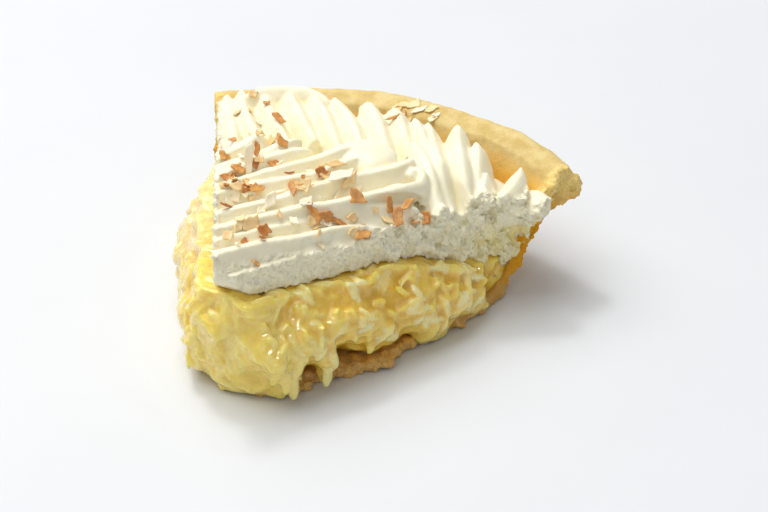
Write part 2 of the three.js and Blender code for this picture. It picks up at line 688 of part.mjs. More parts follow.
function piece(name, solid, colour, roughness) {
  const material = new THREE.MeshStandardMaterial({ color: colour, roughness, metalness: 0 });
  const mesh = new THREE.Mesh(finished(solid), material);
  mesh.name = name;
  return mesh;
}

const slice = new THREE.Group();
slice.add(
  piece('pie_crust', crust, 0xe3c687, 0.75),
  piece('coconut_custard', custard, 0xe6cd6a, 0.3),
  piece('whipped_cream', cream, 0xfbf6e6, 0.6),
);

export default slice;
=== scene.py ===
import math
import random

import bpy
import numpy as np
from mathutils import Matrix, Vector
from mathutils.bvhtree import BVHTree


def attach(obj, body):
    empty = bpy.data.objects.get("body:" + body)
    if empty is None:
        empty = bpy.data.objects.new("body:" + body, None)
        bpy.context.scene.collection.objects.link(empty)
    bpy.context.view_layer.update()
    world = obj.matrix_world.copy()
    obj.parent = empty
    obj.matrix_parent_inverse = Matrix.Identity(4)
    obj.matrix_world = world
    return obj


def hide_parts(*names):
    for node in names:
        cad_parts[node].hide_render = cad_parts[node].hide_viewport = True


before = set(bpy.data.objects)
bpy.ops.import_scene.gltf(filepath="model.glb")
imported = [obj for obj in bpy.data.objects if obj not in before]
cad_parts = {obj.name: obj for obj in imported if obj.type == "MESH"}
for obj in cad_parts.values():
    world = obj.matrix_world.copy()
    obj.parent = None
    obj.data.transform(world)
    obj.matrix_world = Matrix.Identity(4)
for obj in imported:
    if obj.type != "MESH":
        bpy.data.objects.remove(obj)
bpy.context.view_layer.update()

# A slice of coconut cream pie: a shortcrust shell, lumpy coconut custard that has slumped past both cuts,
# whipped cream piped through a star nozzle, and toasted coconut flakes.
#
# Sizes are millimetres round the pie's own axis: +Y is the slice's bisector, the right cut lies on the +X
# side. at() turns such a place into metres in the slice's frame.

MM = 0.001
TURN = 2 * math.pi
# points closer than this, in metres, are one point
SEAM = 1e-7
HALF_ANGLE = math.radians(30)
SLICE_CENTRE = (-0.7, 60.4)
# the two cuts
RIGHT = 1
LEFT = -1
# a place is deep inside the slice when it lies this far in from both cuts and from the axis
IN_FROM_CUT = 2
IN_FROM_AXIS = 9
# the share of its hidden faces that a piece does without, and the rounds that even out its surroundings
HIDDEN_FACES_LOST = 0.85
SWELL_ROUNDS = 50
# seeds of the random draws
CRUST_SEED = 11
CUSTARD_SEED = 29
FLAKE_SEED = 17
CHIP_SEED = 4

# the shell; its wall leans out by a share of the height above its foot
RIM_RADIUS = 118
RIM_TOP = 35.2
RIM_UNDERSIDE = 24.6
BASE_RADIUS = 94
BASE_THICKNESS = 4
WALL_THICKNESS = 4.6
WALL_LEAN = 0.568
WALL_FOOT = 2
# how far the cracked base is pushed out past the right cut: along it, and out
BASE_SPREAD = [(5, 1), (11, 4), (17, 6.6), (20, 7), (29, 5.4), (34, 7.2), (42, 9.2), (48, 8.6), (58, 5.4),
               (70, 4.2), (75, 5), (82, 3), (92, 0)]
# how far the rim's left end stands out past the cut
RIM_PROUD = 2.2
CRUST_TIP = 11
CRUST_VOXEL = 0.62
# how far the rim is raised or pressed down: degrees from the bisector, to the right, and up
RIM_RISE = [(-30, -1.3), (-20, 0.2), (-12, 1.4), (-6, 2.5), (6, 2.9), (18, 3), (24, 2.3), (31, 1.2)]

# the custard: the crown of its top at the tip, and its sag between two radii near the right cut
CUSTARD_TIP_TOP = 32.3
CUSTARD_TOP = 27
CROWN_REACH = 45
CUSTARD_SAG = 13
CUSTARD_SAG_SPAN = (48, 92)
CUSTARD_SAG_WIDTH = 30
SLUMP_RIGHT = 9.5
SLUMP_LEFT = 12
LUMP = 1.5
CUSTARD_MIDDLE = 50
CUSTARD_VOXEL = 0.46
# how far the custard sinks into the wall
WALL_BITE = 0.8

# the cream's pad, whose top falls away from the axis
PAD_TOP = 40.3
PAD_FALL = 0.06
PAD_FLOOR = 9
# the strokes piped on it: a ridge leads in before its first place, and its end is rounded off and drops
STROKE_STEP = 1.1
RIDGE_LEAD = 8
RIDGE_END = 5
RIDGE_END_DROP = 1.8
PETAL_HALF = 5.2
PETAL_DEPTH = 7.5
PETAL_TIP_DEPTH = 2.4
PIPING_VOXEL = 0.5
CREAM_VOXEL = 0.487


# ---------- measuring ----------

def at(x, y, z):
    """A place round the pie's axis, in the slice's frame."""
    return Vector(((x - SLICE_CENTRE[0]) * MM, (y - SLICE_CENTRE[1]) * MM, z * MM))


def lerp(a, b, t):
    return a + (b - a) * t


def smoothstep(x, low, high):
    t = np.clip((x - low) / (high - low), 0, 1)
    return t * t * (3 - 2 * t)


def uneven(x, y, z, wavelength):
    """Smooth unevenness between about -1 and 1, with humps about one wavelength apart."""
    k = TURN / wavelength
    a = np.sin(k * (0.8 * x + 0.6 * y + 0.2 * z) + 1.3)
    b = np.sin(k * 1.27 * (-0.5 * x + 0.75 * y + 0.6 * z) + 4.1)
    c = np.sin(k * 0.91 * (0.3 * x - 0.5 * y + 0.9 * z) + 2.2)
    return (a + b + c) / 3


def by_cut(side, along, out):
    """A place in plan, so far along a cut from the axis and so far out past it."""
    x = side * (math.sin(HALF_ANGLE) * along + math.cos(HALF_ANGLE) * out)
    y = math.cos(HALF_ANGLE) * along - math.sin(HALF_ANGLE) * out
    return x, y


def past_cut(side, x, y):
    """How far a place in plan lies past a cut."""
    return side * math.cos(HALF_ANGLE) * x - math.sin(HALF_ANGLE) * y


def along_cut(side, x, y):
    """How far a place in plan lies along a cut from the axis."""
    return side * math.sin(HALF_ANGLE) * x + math.cos(HALF_ANGLE) * y


def deep_inside(x, y):
    """Whether a place in plan is well away from both cuts and from the axis."""
    clear_of_cuts = (past_cut(RIGHT, x, y) < -IN_FROM_CUT) & (past_cut(LEFT, x, y) < -IN_FROM_CUT)
    return clear_of_cuts & (np.hypot(x, y) > IN_FROM_AXIS)


def back_arc(radius, count):
    """Places in plan round the back, from the right cut to the left one, without its two ends."""
    angles = np.linspace(-HALF_ANGLE, HALF_ANGLE, count)[1:-1]
    return [(-radius * math.sin(angle), radius * math.cos(angle)) for angle in angles]


def wall_radius(z):
    """Radius of the wall's inside at a height."""
    return BASE_RADIUS - WALL_THICKNESS + WALL_LEAN * (z - WALL_FOOT)


def custard_top(x, y):
    radius = np.hypot(x, y)
    crown = CUSTARD_TOP + (CUSTARD_TIP_TOP - CUSTARD_TOP) * np.maximum(0, 1 - radius / CROWN_REACH)
    near_cut = 1 - smoothstep(-past_cut(RIGHT, x, y), 0, CUSTARD_SAG_WIDTH)
    return crown - CUSTARD_SAG * smoothstep(radius, *CUSTARD_SAG_SPAN) * near_cut


def pad_top(x, y):
    return PAD_TOP - PAD_FALL * math.hypot(x, y)


# ---------- handling pieces ----------

def only(piece):
    """Selects one piece alone and makes it active."""
    bpy.ops.object.select_all(action="DESELECT")
    piece.select_set(True)
    bpy.context.view_layer.objects.active = piece


def fresh(name, primitive, **settings):
    """A new primitive, alone selected."""
    bpy.ops.object.select_all(action="DESELECT")
    primitive(**settings)
    piece = bpy.context.active_object
    piece.name = name
    return piece


def ball(name, place, radius, detail, scale=(1, 1, 1)):
    """A ball of a radius in millimetres, stretched by its scale."""
    piece = fresh(name, bpy.ops.mesh.primitive_ico_sphere_add, subdivisions=detail, radius=radius * MM,
                  location=at(*place), scale=scale)
    bpy.ops.object.transform_apply(location=True, rotation=False, scale=True)
    return piece


def copied(master):
    """A copy of a piece, with its own mesh."""
    copy = master.copy()
    copy.data = master.data.copy()
    bpy.context.collection.objects.link(copy)
    return copy


def joined(name, pieces):
    """One piece from several."""
    only(pieces[0])
    for piece in pieces[1:]:
        piece.select_set(True)
    bpy.ops.object.join()
    pieces[0].name = name
    pieces[0].data.name = name
    return pieces[0]


def apply_modifier(piece, kind, **settings):
    """Adds a modifier with its settings and applies it."""
    only(piece)
    modifier = piece.modifiers.new(kind.lower(), kind)
    for setting, value in settings.items():
        setattr(modifier, setting, value)
    bpy.ops.object.modifier_apply(modifier=modifier.name)


def remesh(piece, voxel):
    apply_modifier(piece, "REMESH", mode="VOXEL", voxel_size=voxel * MM, adaptivity=0)


def smooth(piece, rounds):
    apply_modifier(piece, "SMOOTH", factor=0.5, iterations=rounds)


def combine(piece, other, operation):
    """Joins, cuts or trims a piece with another, which is used up."""
    apply_modifier(piece, "BOOLEAN", object=other, operation=operation, solver="MANIFOLD")
    bpy.data.objects.remove(other)


def points_of(piece):
    """The piece's points as millimetres round the pie's axis, one row each."""
    flat = np.empty(len(piece.data.vertices) * 3)
    piece.data.vertices.foreach_get("co", flat)
    return flat.reshape(-1, 3) / MM + np.array([*SLICE_CENTRE, 0])


def set_points(piece, points):
    flat = ((points - np.array([*SLICE_CENTRE, 0])) * MM).ravel()
    piece.data.vertices.foreach_set("co", flat)
    piece.data.update()


def settle(piece, floor):
    """Nothing reaches below a height in millimetres."""
    points = points_of(piece)
    points[:, 2] = np.maximum(points[:, 2], floor)
    set_points(piece, points)


def normals_of(piece):
    flat = np.empty(len(piece.data.vertices) * 3)
    piece.data.vertex_normals.foreach_get("vector", flat)
    return flat.reshape(-1, 3)


def paint(piece, name, values):
    """Keeps a value for each point as an attribute that the materials read, in place of its groups."""
    piece.vertex_groups.clear()
    attribute = piece.data.attributes.new(name, "FLOAT", "POINT")
    attribute.data.foreach_set("value", np.asarray(values, dtype=np.float32))


def group(piece, name, values):
    """Keeps a value for each point as a vertex group that the relief follows."""
    members = piece.vertex_groups.new(name=name)
    for index, value in enumerate(np.asarray(values).tolist()):
        if value > 0.001:
            members.add([index], value, "REPLACE")


def swell_of(piece, rounds):
    """How far each point stands out from its wider surroundings, in millimetres."""
    points = points_of(piece)
    count = len(points)
    ends = np.empty(2 * len(piece.data.edges), dtype=np.int32)
    piece.data.edges.foreach_get("vertices", ends)
    first, second = ends.reshape(-1, 2).T
    neighbours = np.bincount(ends, minlength=count)[:, None]
    calm = points.copy()
    for _ in range(rounds):
        total = [np.bincount(first, calm[second, axis], count) + np.bincount(second, calm[first, axis], count)
                 for axis in range(3)]
        calm = 0.5 * calm + 0.5 * np.column_stack(total) / neighbours
    return ((points - calm) * normals_of(piece)).sum(axis=1)


def thin_out(piece, hidden):
    """Takes most of the faces away where a piece is out of sight."""
    group(piece, "hidden", hidden)
    ratio = 1 - HIDDEN_FACES_LOST * float(np.mean(hidden))
    apply_modifier(piece, "DECIMATE", ratio=ratio, vertex_group="hidden")
    piece.vertex_groups.clear()


def texture(name, kind, humps, **settings):
    """A relief texture with humps of a size in millimetres."""
    made = bpy.data.textures.new(name, kind)
    made.noise_scale = humps * MM
    for setting, value in settings.items():
        setattr(made, setting, value)
    return made


def clouds(name, humps, detail, **settings):
    return texture(name, "CLOUDS", humps, noise_depth=detail, **settings)


def relief(piece, pattern, height, within="", level=0.5):
    """Raises a pattern along the surface, as high as height in millimetres, where a vertex group says."""
    apply_modifier(piece, "DISPLACE", texture=pattern, strength=height * MM, mid_level=level,
                   vertex_group=within)


def rolled(name, rings):
    """A skin through rings of places: a grid rolled up, its seam merged and its two ends filled."""
    count = len(rings[0])
    piece = fresh(name, bpy.ops.mesh.primitive_grid_add, x_subdivisions=count,
                  y_subdivisions=len(rings) - 1, size=1)
    places = [ring[column % count] for ring in rings for column in range(count + 1)]
    for vertex, place in zip(piece.data.vertices, places):
        vertex.co = at(*place)
    bpy.ops.object.mode_set(mode="EDIT")
    bpy.ops.mesh.select_all(action="SELECT")
    bpy.ops.mesh.remove_doubles(threshold=SEAM)
    bpy.ops.mesh.select_all(action="DESELECT")
    bpy.ops.mesh.select_non_manifold(extend=False)
    bpy.ops.mesh.fill_holes(sides=0)
    bpy.ops.mesh.select_all(action="SELECT")
    bpy.ops.mesh.quads_convert_to_tris()
    bpy.ops.mesh.normals_make_consistent(inside=False)
    bpy.ops.object.mode_set(mode="OBJECT")
    return piece


# ---------- the crust ----------

# the roll of the rim: its half width, the arc it covers in degrees, and the steps round it
ROLL_HALF = 5
ROLL_ARC = (-90, 112)
ROLL_STEPS = 14
# heights of the wall's points, up the outside and down the inside
OUTER_HEIGHTS = (1.2, 8, 16, RIM_UNDERSIDE - 3)
INNER_HEIGHTS = (RIM_TOP - 5, 22, 13, BASE_THICKNESS + 3)
# the section starts a little off the axis, and is spun past both cuts
SECTION_START = 3
SPIN_ANGLE = math.radians(84)
SPIN_STEPS = 126


def shell_section():
    """Section of the shell, out along its underside and back along its inside, as radius and height."""
    middle = (RIM_TOP + RIM_UNDERSIDE) / 2
    half = (RIM_TOP - RIM_UNDERSIDE) / 2
    angles = [math.radians(lerp(*ROLL_ARC, step / ROLL_STEPS)) for step in range(ROLL_STEPS + 1)]
    return [
        (SECTION_START, 0), (BASE_RADIUS * 0.5, 0), (BASE_RADIUS - 2.5, 0),
        *[(wall_radius(z) + WALL_THICKNESS, z) for z in OUTER_HEIGHTS],
        (wall_radius(RIM_UNDERSIDE) + WALL_THICKNESS + 1, RIM_UNDERSIDE - 0.2),
        *[(RIM_RADIUS - ROLL_HALF + ROLL_HALF * math.cos(a), middle + half * math.sin(a)) for a in angles],
        (RIM_RADIUS - 2 * ROLL_HALF - 0.5, RIM_TOP - 1.6),
        *[(wall_radius(z), z) for z in INNER_HEIGHTS],
        (wall_radius(BASE_THICKNESS) - 3, BASE_THICKNESS),
        (BASE_RADIUS * 0.5, BASE_THICKNESS), (SECTION_START, BASE_THICKNESS),
    ]


def spun_shell():
    """The whole shell round the slice: its section spun about the pie's axis."""
    section = shell_section()
    shell = fresh("shell", bpy.ops.mesh.primitive_circle_add, vertices=len(section), fill_type="NGON")
    for vertex, (radius, z) in zip(shell.data.vertices, section):
        vertex.co = at(radius * math.sin(SPIN_ANGLE / 2), radius * math.cos(SPIN_ANGLE / 2), z)
    bpy.ops.object.mode_set(mode="EDIT")
    bpy.ops.mesh.select_all(action="SELECT")
    bpy.ops.mesh.spin(steps=SPIN_STEPS, angle=-SPIN_ANGLE, center=at(0, 0, 0), axis=(0, 0, 1))
    bpy.ops.mesh.select_all(action="SELECT")
    bpy.ops.mesh.remove_doubles(threshold=SEAM)
    bpy.ops.mesh.normals_make_consistent(inside=False)
    bpy.ops.object.mode_set(mode="OBJECT")
    return shell


def shaped_by_hand(points):
    """The rim wanders in and out and up and down a little."""
    x, y, z = points.T
    radius = np.hypot(x, y)
    share = smoothstep(z, BASE_THICKNESS, RIM_UNDERSIDE)
    out = share * (0.8 * uneven(x, y, 0, 46) + 0.45 * uneven(x, y, z, 11))
    rise = np.interp(np.degrees(np.arctan2(x, y)), *zip(*RIM_RISE))
    up = smoothstep(z, 20, RIM_TOP) * (rise + 0.3 * uneven(x, y, 9, 31))
    scale = (radius + out) / radius
    return np.column_stack([x * scale, y * scale, z + up])


def crust_edge(side, along):
    """How far the crust's broken edge lies past a cut."""
    chips = 0.75 * uneven(along, 0, side * 7, 7.3) + 0.5 * uneven(along, 3, side * 5, 3.9)
    if side == LEFT:
        return RIM_PROUD * smoothstep(along, 78, 96) + 0.6 * chips
    pushed = np.interp(along, *zip(*BASE_SPREAD))
    return pushed + 0.7 * chips * (1 + smoothstep(along, 98, 108))


def crust_block():
    """The block that the slice's crust is cut out with."""
    reach = RIM_RADIUS + 8
    alongs = np.linspace(CRUST_TIP, reach, 90)
    right = [by_cut(RIGHT, along, crust_edge(RIGHT, along)) for along in alongs]
    left = [by_cut(LEFT, along, crust_edge(LEFT, along)) for along in alongs[::-1]]
    outline = [*right, (0, reach + 12), *left, (2, 0.8 * CRUST_TIP)]
    return rolled("crust_block", [[(x, y, z) for x, y in outline] for z in (-4, RIM_TOP + 10)])


# bites out of the rim's broken end, and lumps that square it off: along and past the right cut, height, size
RIM_BITES = [(109.5, 2, 30.5, 3.2), (104, 2.6, 25, 2.8)]
RIM_LIP = [(116.3, -0.9, 27.2, 2.3), (113.4, -0.8, 26.6, 2), (117, -1, 30, 2), (110.6, -0.9, 26.9, 1.8)]
# crumbs along the right cut: on the base's edge from, to and step; on the rim's end how many, from and to
BASE_CRUMBS = (14, 86, 2.6)
RIM_CRUMBS = 26
RIM_CRUMBS_SPAN = (100, 118)


def crumb(name, place, size, draw):
    """A rough lump of pastry."""
    piece = ball(name, place, size, 2)
    seed = draw.uniform(0, 90)
    middle = np.array(place)
    points = points_of(piece) - middle
    x, y, z = points.T
    points *= (1 + 0.28 * uneven(x + seed, y, z, size * 1.7))[:, None]
    set_points(piece, points + middle)
    return piece


def edge_crumbs(draw):
    """Crumbs along the cracked edge of the base, and on the broken end of the rim."""
    crumbs = []
    for along in np.arange(*BASE_CRUMBS):
        size = draw.uniform(0.7, 1.9)
        x, y = by_cut(RIGHT, along + draw.uniform(-1, 1), crust_edge(RIGHT, along) - draw.uniform(-0.4, 1.2))
        crumbs.append(crumb("crumb", (x, y, draw.uniform(size * 0.9, 3.4)), size, draw))
    for _ in range(RIM_CRUMBS):
        along = draw.uniform(*RIM_CRUMBS_SPAN)
        size = draw.uniform(0.6, 1.6)
        x, y = by_cut(RIGHT, along, draw.uniform(-0.6, 0.7))
        height = lerp(27, 34, draw.random()) if along > 104 else draw.uniform(18, 30)
        crumbs.append(crumb("crumb", (x, y, height), size, draw))
    for along, past, height, size in RIM_LIP:
        crumbs.append(crumb("lip", (*by_cut(RIGHT, along, past), height), size, draw))
    return crumbs


def broken_share(points):
    """How broken the crust is: on the rim's right end, on the spread base and down the left cut."""
    x, y, z = points.T
    right = smoothstep(past_cut(RIGHT, x, y), -3.2, -0.6) * smoothstep(np.hypot(x, y), 86, 98)
    left = 0.6 * smoothstep(past_cut(LEFT, x, y), -1.2, 0.4)
    base = smoothstep(past_cut(RIGHT, x, y), 0.4, 3) * (z < 6)
    return np.clip(np.maximum(right, np.maximum(base, left)), 0, 1)


def make_crust():
    draw = random.Random(CRUST_SEED)
    shell = spun_shell()
    set_points(shell, shaped_by_hand(points_of(shell)))
    combine(shell, crust_block(), "INTERSECT")
    for along, past, height, size in RIM_BITES:
        combine(shell, crumb("bite", (*by_cut(RIGHT, along, past), height), size, draw), "DIFFERENCE")
    crust = joined("pie_crust_baked", [shell, *edge_crumbs(draw)])
    remesh(crust, CRUST_VOXEL)
    smooth(crust, 2)
    points = points_of(crust)
    broken = broken_share(points)
    group(crust, "broken", broken)
    group(crust, "floor", smoothstep(points[:, 2], 0.2, 1.2))
    relief(crust, clouds("pastry_breaks", humps=3.2, detail=2), height=3.4, within="broken")
    relief(crust, texture("pastry_crumbs", "VORONOI", humps=1.5), height=-0.9, within="broken", level=0.35)
    relief(crust, clouds("pastry_swell", humps=6.5, detail=1), height=0.5, within="floor")
    relief(crust, clouds("pastry_sand", humps=0.9, detail=2), height=0.22, within="floor")
    settle(crust, 0)
    paint(crust, "broken", broken)
    return crust


# ---------- the custard ----------

# the shares of its height at which the custard's rings lie
BULGE_LEVELS = [0, 0.05, 0.1, 0.18, 0.27, 0.37, 0.47, 0.57, 0.67, 0.76, 0.84, 0.91, 0.96, 1]


def bulge(share, top):
    """How far the slumped face stands out at a height share: a belly, tucked in at the foot and the top."""
    belly = math.sin(math.pi * min(1, 0.28 + 0.55 * share))
    return lerp(belly, top, smoothstep(share, 0.55, 1)) - 0.12 * (1 - smoothstep(share, 0, 0.12))


def slump(side, along, share):
    """How far the custard has slumped past a cut at a height share."""
    widest = SLUMP_RIGHT if side == RIGHT else SLUMP_LEFT * lerp(0.78, 1, smoothstep(along, 12, 27))
    faded = 1 - smoothstep(along, 66, 95)
    soft = 1 + 0.14 * uneven(along, side * 20, 0, 34)
    return widest * faded * soft * bulge(share, 0.36 if side == RIGHT else 0.5) - 1 + faded


# where the crust's edge shows under the custard: from and to along the right cut, and how high
UNDERCUTS = [(7, 13, 4.5), (18, 26, 7), (29, 41, 9), (42, 58, 6), (71, 77, 3.5)]
UNDERCUT_EASE = 2


def custard_floor(x, y):
    """Height of the custard's lower edge, which hangs clear of the crust's edge in places."""
    along = along_cut(RIGHT, x, y)
    rise = 0
    for start, end, height in UNDERCUTS:
        begun = smoothstep(along, start - UNDERCUT_EASE, start + UNDERCUT_EASE)
        ended = smoothstep(along, end - UNDERCUT_EASE, end + UNDERCUT_EASE)
        rise += height * begun * (1 - ended)
    return 0.3 + rise * smoothstep(past_cut(RIGHT, x, y), 0, 4)


# where the custard's face begins along each cut, at its foot and at its top
FACE_STARTS = {RIGHT: (12, 8), LEFT: (16, 11)}
# how far the blunt tip bows forward
TIP_BOW = 1.6


def custard_ring(share):
    """The custard's outline at a height share: the right face, the back, the left face and the tip."""
    reach = lerp(wall_radius(BASE_THICKNESS), wall_radius(CUSTARD_TOP), share) + 2
    sides = {}
    for side, starts in FACE_STARTS.items():
        alongs = np.linspace(lerp(*starts, share), reach, 60)
        sides[side] = [by_cut(side, along, slump(side, along, share)) for along in alongs]
    right, left = sides[RIGHT], sides[LEFT][::-1]
    tip = []
    for t in np.linspace(0, 1, 16)[1:-1]:
        x, y = (lerp(a, b, t) for a, b in zip(left[-1], right[0]))
        tip.append((x, y - TIP_BOW * math.sin(math.pi * t)))
    ring = []
    for x, y in [*right, *back_arc(reach, 20), *left, *tip]:
        z = lerp(custard_floor(x, y), custard_top(x, y), share)
        still = 1 - smoothstep(math.hypot(x, y), 84, 94)
        lump = LUMP * still * (uneven(x, y, z, 15) + 0.7 * uneven(y, z, x, 8.5))
        away = Vector((x, y - CUSTARD_MIDDLE)).normalized() * lump
        ring.append((x + away.x, y + away.y, z))
    return ring


def custard_form(name, lift=0):
    """The bare custard, raised by a distance to cut the cream clear of it."""
    rings = [custard_ring(share) for share in BULGE_LEVELS]
    edge = rings[-1]
    for scale in np.linspace(1, 0, 12)[1:-1]:
        ring = [(x * scale, lerp(CUSTARD_MIDDLE, y, scale)) for x, y, _ in edge]
        rings.append([(x, y, custard_top(x, y)) for x, y in ring])
    return rolled(name, [[(x, y, z + lift) for x, y, z in ring] for ring in rings])


def strip_of_coconut(cuts):
    """One shred: a bar with a bend, thinner at its ends."""
    shred = fresh("shred", bpy.ops.mesh.primitive_cube_add, size=1)
    bpy.ops.object.mode_set(mode="EDIT")
    bpy.ops.mesh.select_all(action="SELECT")
    bpy.ops.mesh.subdivide(number_cuts=cuts)
    bpy.ops.object.mode_set(mode="OBJECT")
    for vertex in shred.data.vertices:
        x, y, z = vertex.co
        taper = 1 - 0.5 * abs(2 * x) ** 4
        flank = 1 - 0.35 * abs(2 * z) ** 2
        vertex.co = (x, y * taper * flank + 0.3 * (x * x - 0.1), z * (1 - 0.3 * abs(2 * y) ** 3) * taper)
    return shred


def laid_on_face(master, side, along, share, lift, turn, tip, size):
    """A copy of a strip, laid on the custard's face."""
    x, y = by_cut(side, along, slump(side, along, share) + lift)
    z = lerp(custard_floor(x, y), custard_top(x, y), share)
    facing = math.pi / 2 - HALF_ANGLE
    shape = Matrix.Diagonal((size[0] * MM, size[1] * MM, size[2] * MM, 1))
    lying = Matrix.Rotation(tip, 4, "X") @ Matrix.Rotation(turn, 4, "Z")
    upright = Matrix.Rotation(side * facing, 4, "Z") @ Matrix.Rotation(math.pi / 2, 4, "X")
    copy = copied(master)
    copy.data.transform(Matrix.Translation(at(x, y, z)) @ upright @ lying @ shape)
    return copy


# wet shreds that hang over the undercuts: along the right cut, height share, length, width, thickness, turn
HANGING_SHREDS = [
    (14.6, 0.26, (7, 3, 2.4), 82), (16.4, 0.2, (9, 3.4, 2.6), 94), (18.2, 0.3, (7, 3, 2.2), 70),
    (27, 0.16, (7.5, 3.2, 2.4), 84), (28.8, 0.24, (6, 2.8, 2.2), 100),
]
HANGING_LIFT = 0.6
# how many shreds lie under the skin, show on the faces, show at the tip and show round the top's edge
SUNKEN_SHREDS = 120
FACE_SHREDS = 150
TIP_SHREDS = 40
TOP_SHREDS = 24


def sunken_shreds(draw):
    """Shreds under the custard's skin, that make it lumpy."""
    master = strip_of_coconut(4)
    shreds = []
    for index in range(SUNKEN_SHREDS):
        side = LEFT if index % 3 == 2 else RIGHT
        size = (draw.uniform(4, 9), draw.uniform(1.6, 3.2), draw.uniform(1.2, 2))
        along, share = 11 + 72 * draw.random() ** 1.3, draw.uniform(0.22, 0.9)
        lift, turn = draw.uniform(-0.7, 0.1), draw.uniform(0, math.pi)
        tip = math.radians(draw.uniform(-8, 8))
        shreds.append(laid_on_face(master, side, along, share, lift, turn, tip, size))
    bpy.data.objects.remove(master)
    return shreds


def draped(master, tree, place, turn, size, lifts):
    """A copy of a shred laid over the surface near a place; its two ends lie or stand off it."""
    spot, normal, _, _ = tree.find_nearest(place)
    ahead = normal.orthogonal().normalized()
    ahead.rotate(Matrix.Rotation(turn, 3, normal))
    across = normal.cross(ahead)
    length, width, thickness = (value * MM for value in size)
    copy = copied(master)
    for vertex in copy.data.vertices:
        x, y, z = vertex.co
        under, out, _, _ = tree.find_nearest(spot + ahead * x * length + across * y * width)
        rise = lerp(*lifts, x + 0.5) * MM + z * thickness
        vertex.co = under + out.lerp(normal, 0.6).normalized() * rise
    return copy


def shred_places(draw):
    """Where shreds show on the custard: thickest on the lower front near the tip, few on the smooth shelf."""
    places = []
    while len(places) < FACE_SHREDS:
        side = draw.choice([RIGHT, RIGHT, RIGHT, LEFT])
        along, share = 10 + 70 * draw.random() ** 1.4, draw.uniform(0.08, 0.97)
        smooth_skin = side == RIGHT and 26 < along < 62 and share > 0.6
        if smooth_skin and draw.random() < 0.8:
            continue
        x, y = by_cut(side, along, slump(side, along, share))
        places.append(at(x, y, lerp(custard_floor(x, y) + 2, custard_top(x, y), share)))
    for _ in range(TIP_SHREDS):
        x, y = draw.uniform(-15, 6), 8
        places.append(at(x, y, lerp(2, 31, draw.random())))
    for _ in range(TOP_SHREDS):
        x, y = by_cut(draw.choice([RIGHT, RIGHT, LEFT]), draw.uniform(8, 80), draw.uniform(-1, 4))
        places.append(at(x, y, custard_top(x, y)))
    return places


def draped_shreds(custard, draw):
    """Pale shreds of coconut, half sunk in the custard's skin, and how pale each of their faces is."""
    tree = BVHTree.FromObject(custard, bpy.context.evaluated_depsgraph_get())
    master = strip_of_coconut(3)
    shreds = []
    for along, share, size, turn in HANGING_SHREDS:
        shreds.append(laid_on_face(master, RIGHT, along, share, HANGING_LIFT, math.radians(turn), 0, size))
    for place in shred_places(draw):
        size = (draw.uniform(3, 8), draw.uniform(1.2, 2.4), draw.uniform(0.9, 1.4))
        lifts = (draw.uniform(-0.4, 0.5), draw.uniform(-0.4, 0.5))
        shreds.append(draped(master, tree, place, draw.uniform(0, TURN), size, lifts))
    bpy.data.objects.remove(master)
    faces = len(shreds[0].data.polygons)
    draped_paleness = [draw.random() for _ in shreds[len(HANGING_SHREDS):]]
    paleness = np.repeat([1.0] * len(HANGING_SHREDS) + draped_paleness, faces)
    return joined("coconut_shreds", shreds), paleness


def held_by_wall(points):
    """The custard's points, none of them more than a little way into the wall."""
    reach = wall_radius(np.maximum(points[:, 2], BASE_THICKNESS)) + WALL_BITE
    radius = np.maximum(np.hypot(points[:, 0], points[:, 1]), 1)
    held = points.copy()
    held[:, :2] *= np.minimum(1, reach / radius)[:, None]
    return held


def custard_out_of_sight(custard):
    """Whether each point is on the custard's underside, under the cream or against the wall."""
    x, y, z = points_of(custard).T
    inside = deep_inside(x, y)
    beneath = (normals_of(custard)[:, 2] < -0.6) & (z < 3.5)
    covered = inside & (z > custard_top(x, y) - 1.5)
    behind = inside & (np.hypot(x, y) > wall_radius(z) - 1)
    return beneath | covered | behind


def shred_share(custard, strands, paleness):
    """How much of a shred's pale colour each point shows."""
    near = [strands.find_nearest(vertex.co, MM)[2:] for vertex in custard.data.vertices]
    distance = np.array([1 if value is None else value / MM for _, value in near])
    pale = np.array([0 if face is None else paleness[face] for face, _ in near])
    return pale * (1 - smoothstep(distance, 0.1, 0.45))


def shelf_share(points):
    """How far each point lies on the smooth shelf, high on the right face."""
    x, y, z = points.T
    along = along_cut(RIGHT, x, y)
    return (x > 0) * smoothstep(z, 13, 19) * smoothstep(along, 16, 24) * (1 - smoothstep(along, 58, 68))


def make_custard():
    draw = random.Random(CUSTARD_SEED)
    custard = joined("coconut_custard_soft", [custard_form("coconut_custard_soft"), *sunken_shreds(draw)])
    remesh(custard, CUSTARD_VOXEL)
    smooth(custard, 6)
    points = points_of(custard)
    group(custard, "above", smoothstep(points[:, 2], 0.6, 2.2) * (1 - 0.6 * shelf_share(points)))
    relief(custard, clouds("custard_lumps", humps=7.5, detail=1), height=2.4, within="above")
    relief(custard, clouds("custard_curds", humps=2.8, detail=1), height=1.0, within="above")
    smooth(custard, 1)
    shreds, paleness = draped_shreds(custard, draw)
    strands = BVHTree.FromObject(shreds, bpy.context.evaluated_depsgraph_get())
    custard = joined("coconut_custard_soft", [custard, shreds])
    remesh(custard, CUSTARD_VOXEL)
    smooth(custard, 1)
    set_points(custard, held_by_wall(points_of(custard)))
    settle(custard, 0.2)
    thin_out(custard, custard_out_of_sight(custard))
    paint(custard, "shred", shred_share(custard, strands, paleness))
    # the swell that the custard's material turns into painted shade in the hollows and painted light on the
    # lumps
    paint(custard, "swell", swell_of(custard, SWELL_ROUNDS))
    return custard


# ---------- the cream ----------

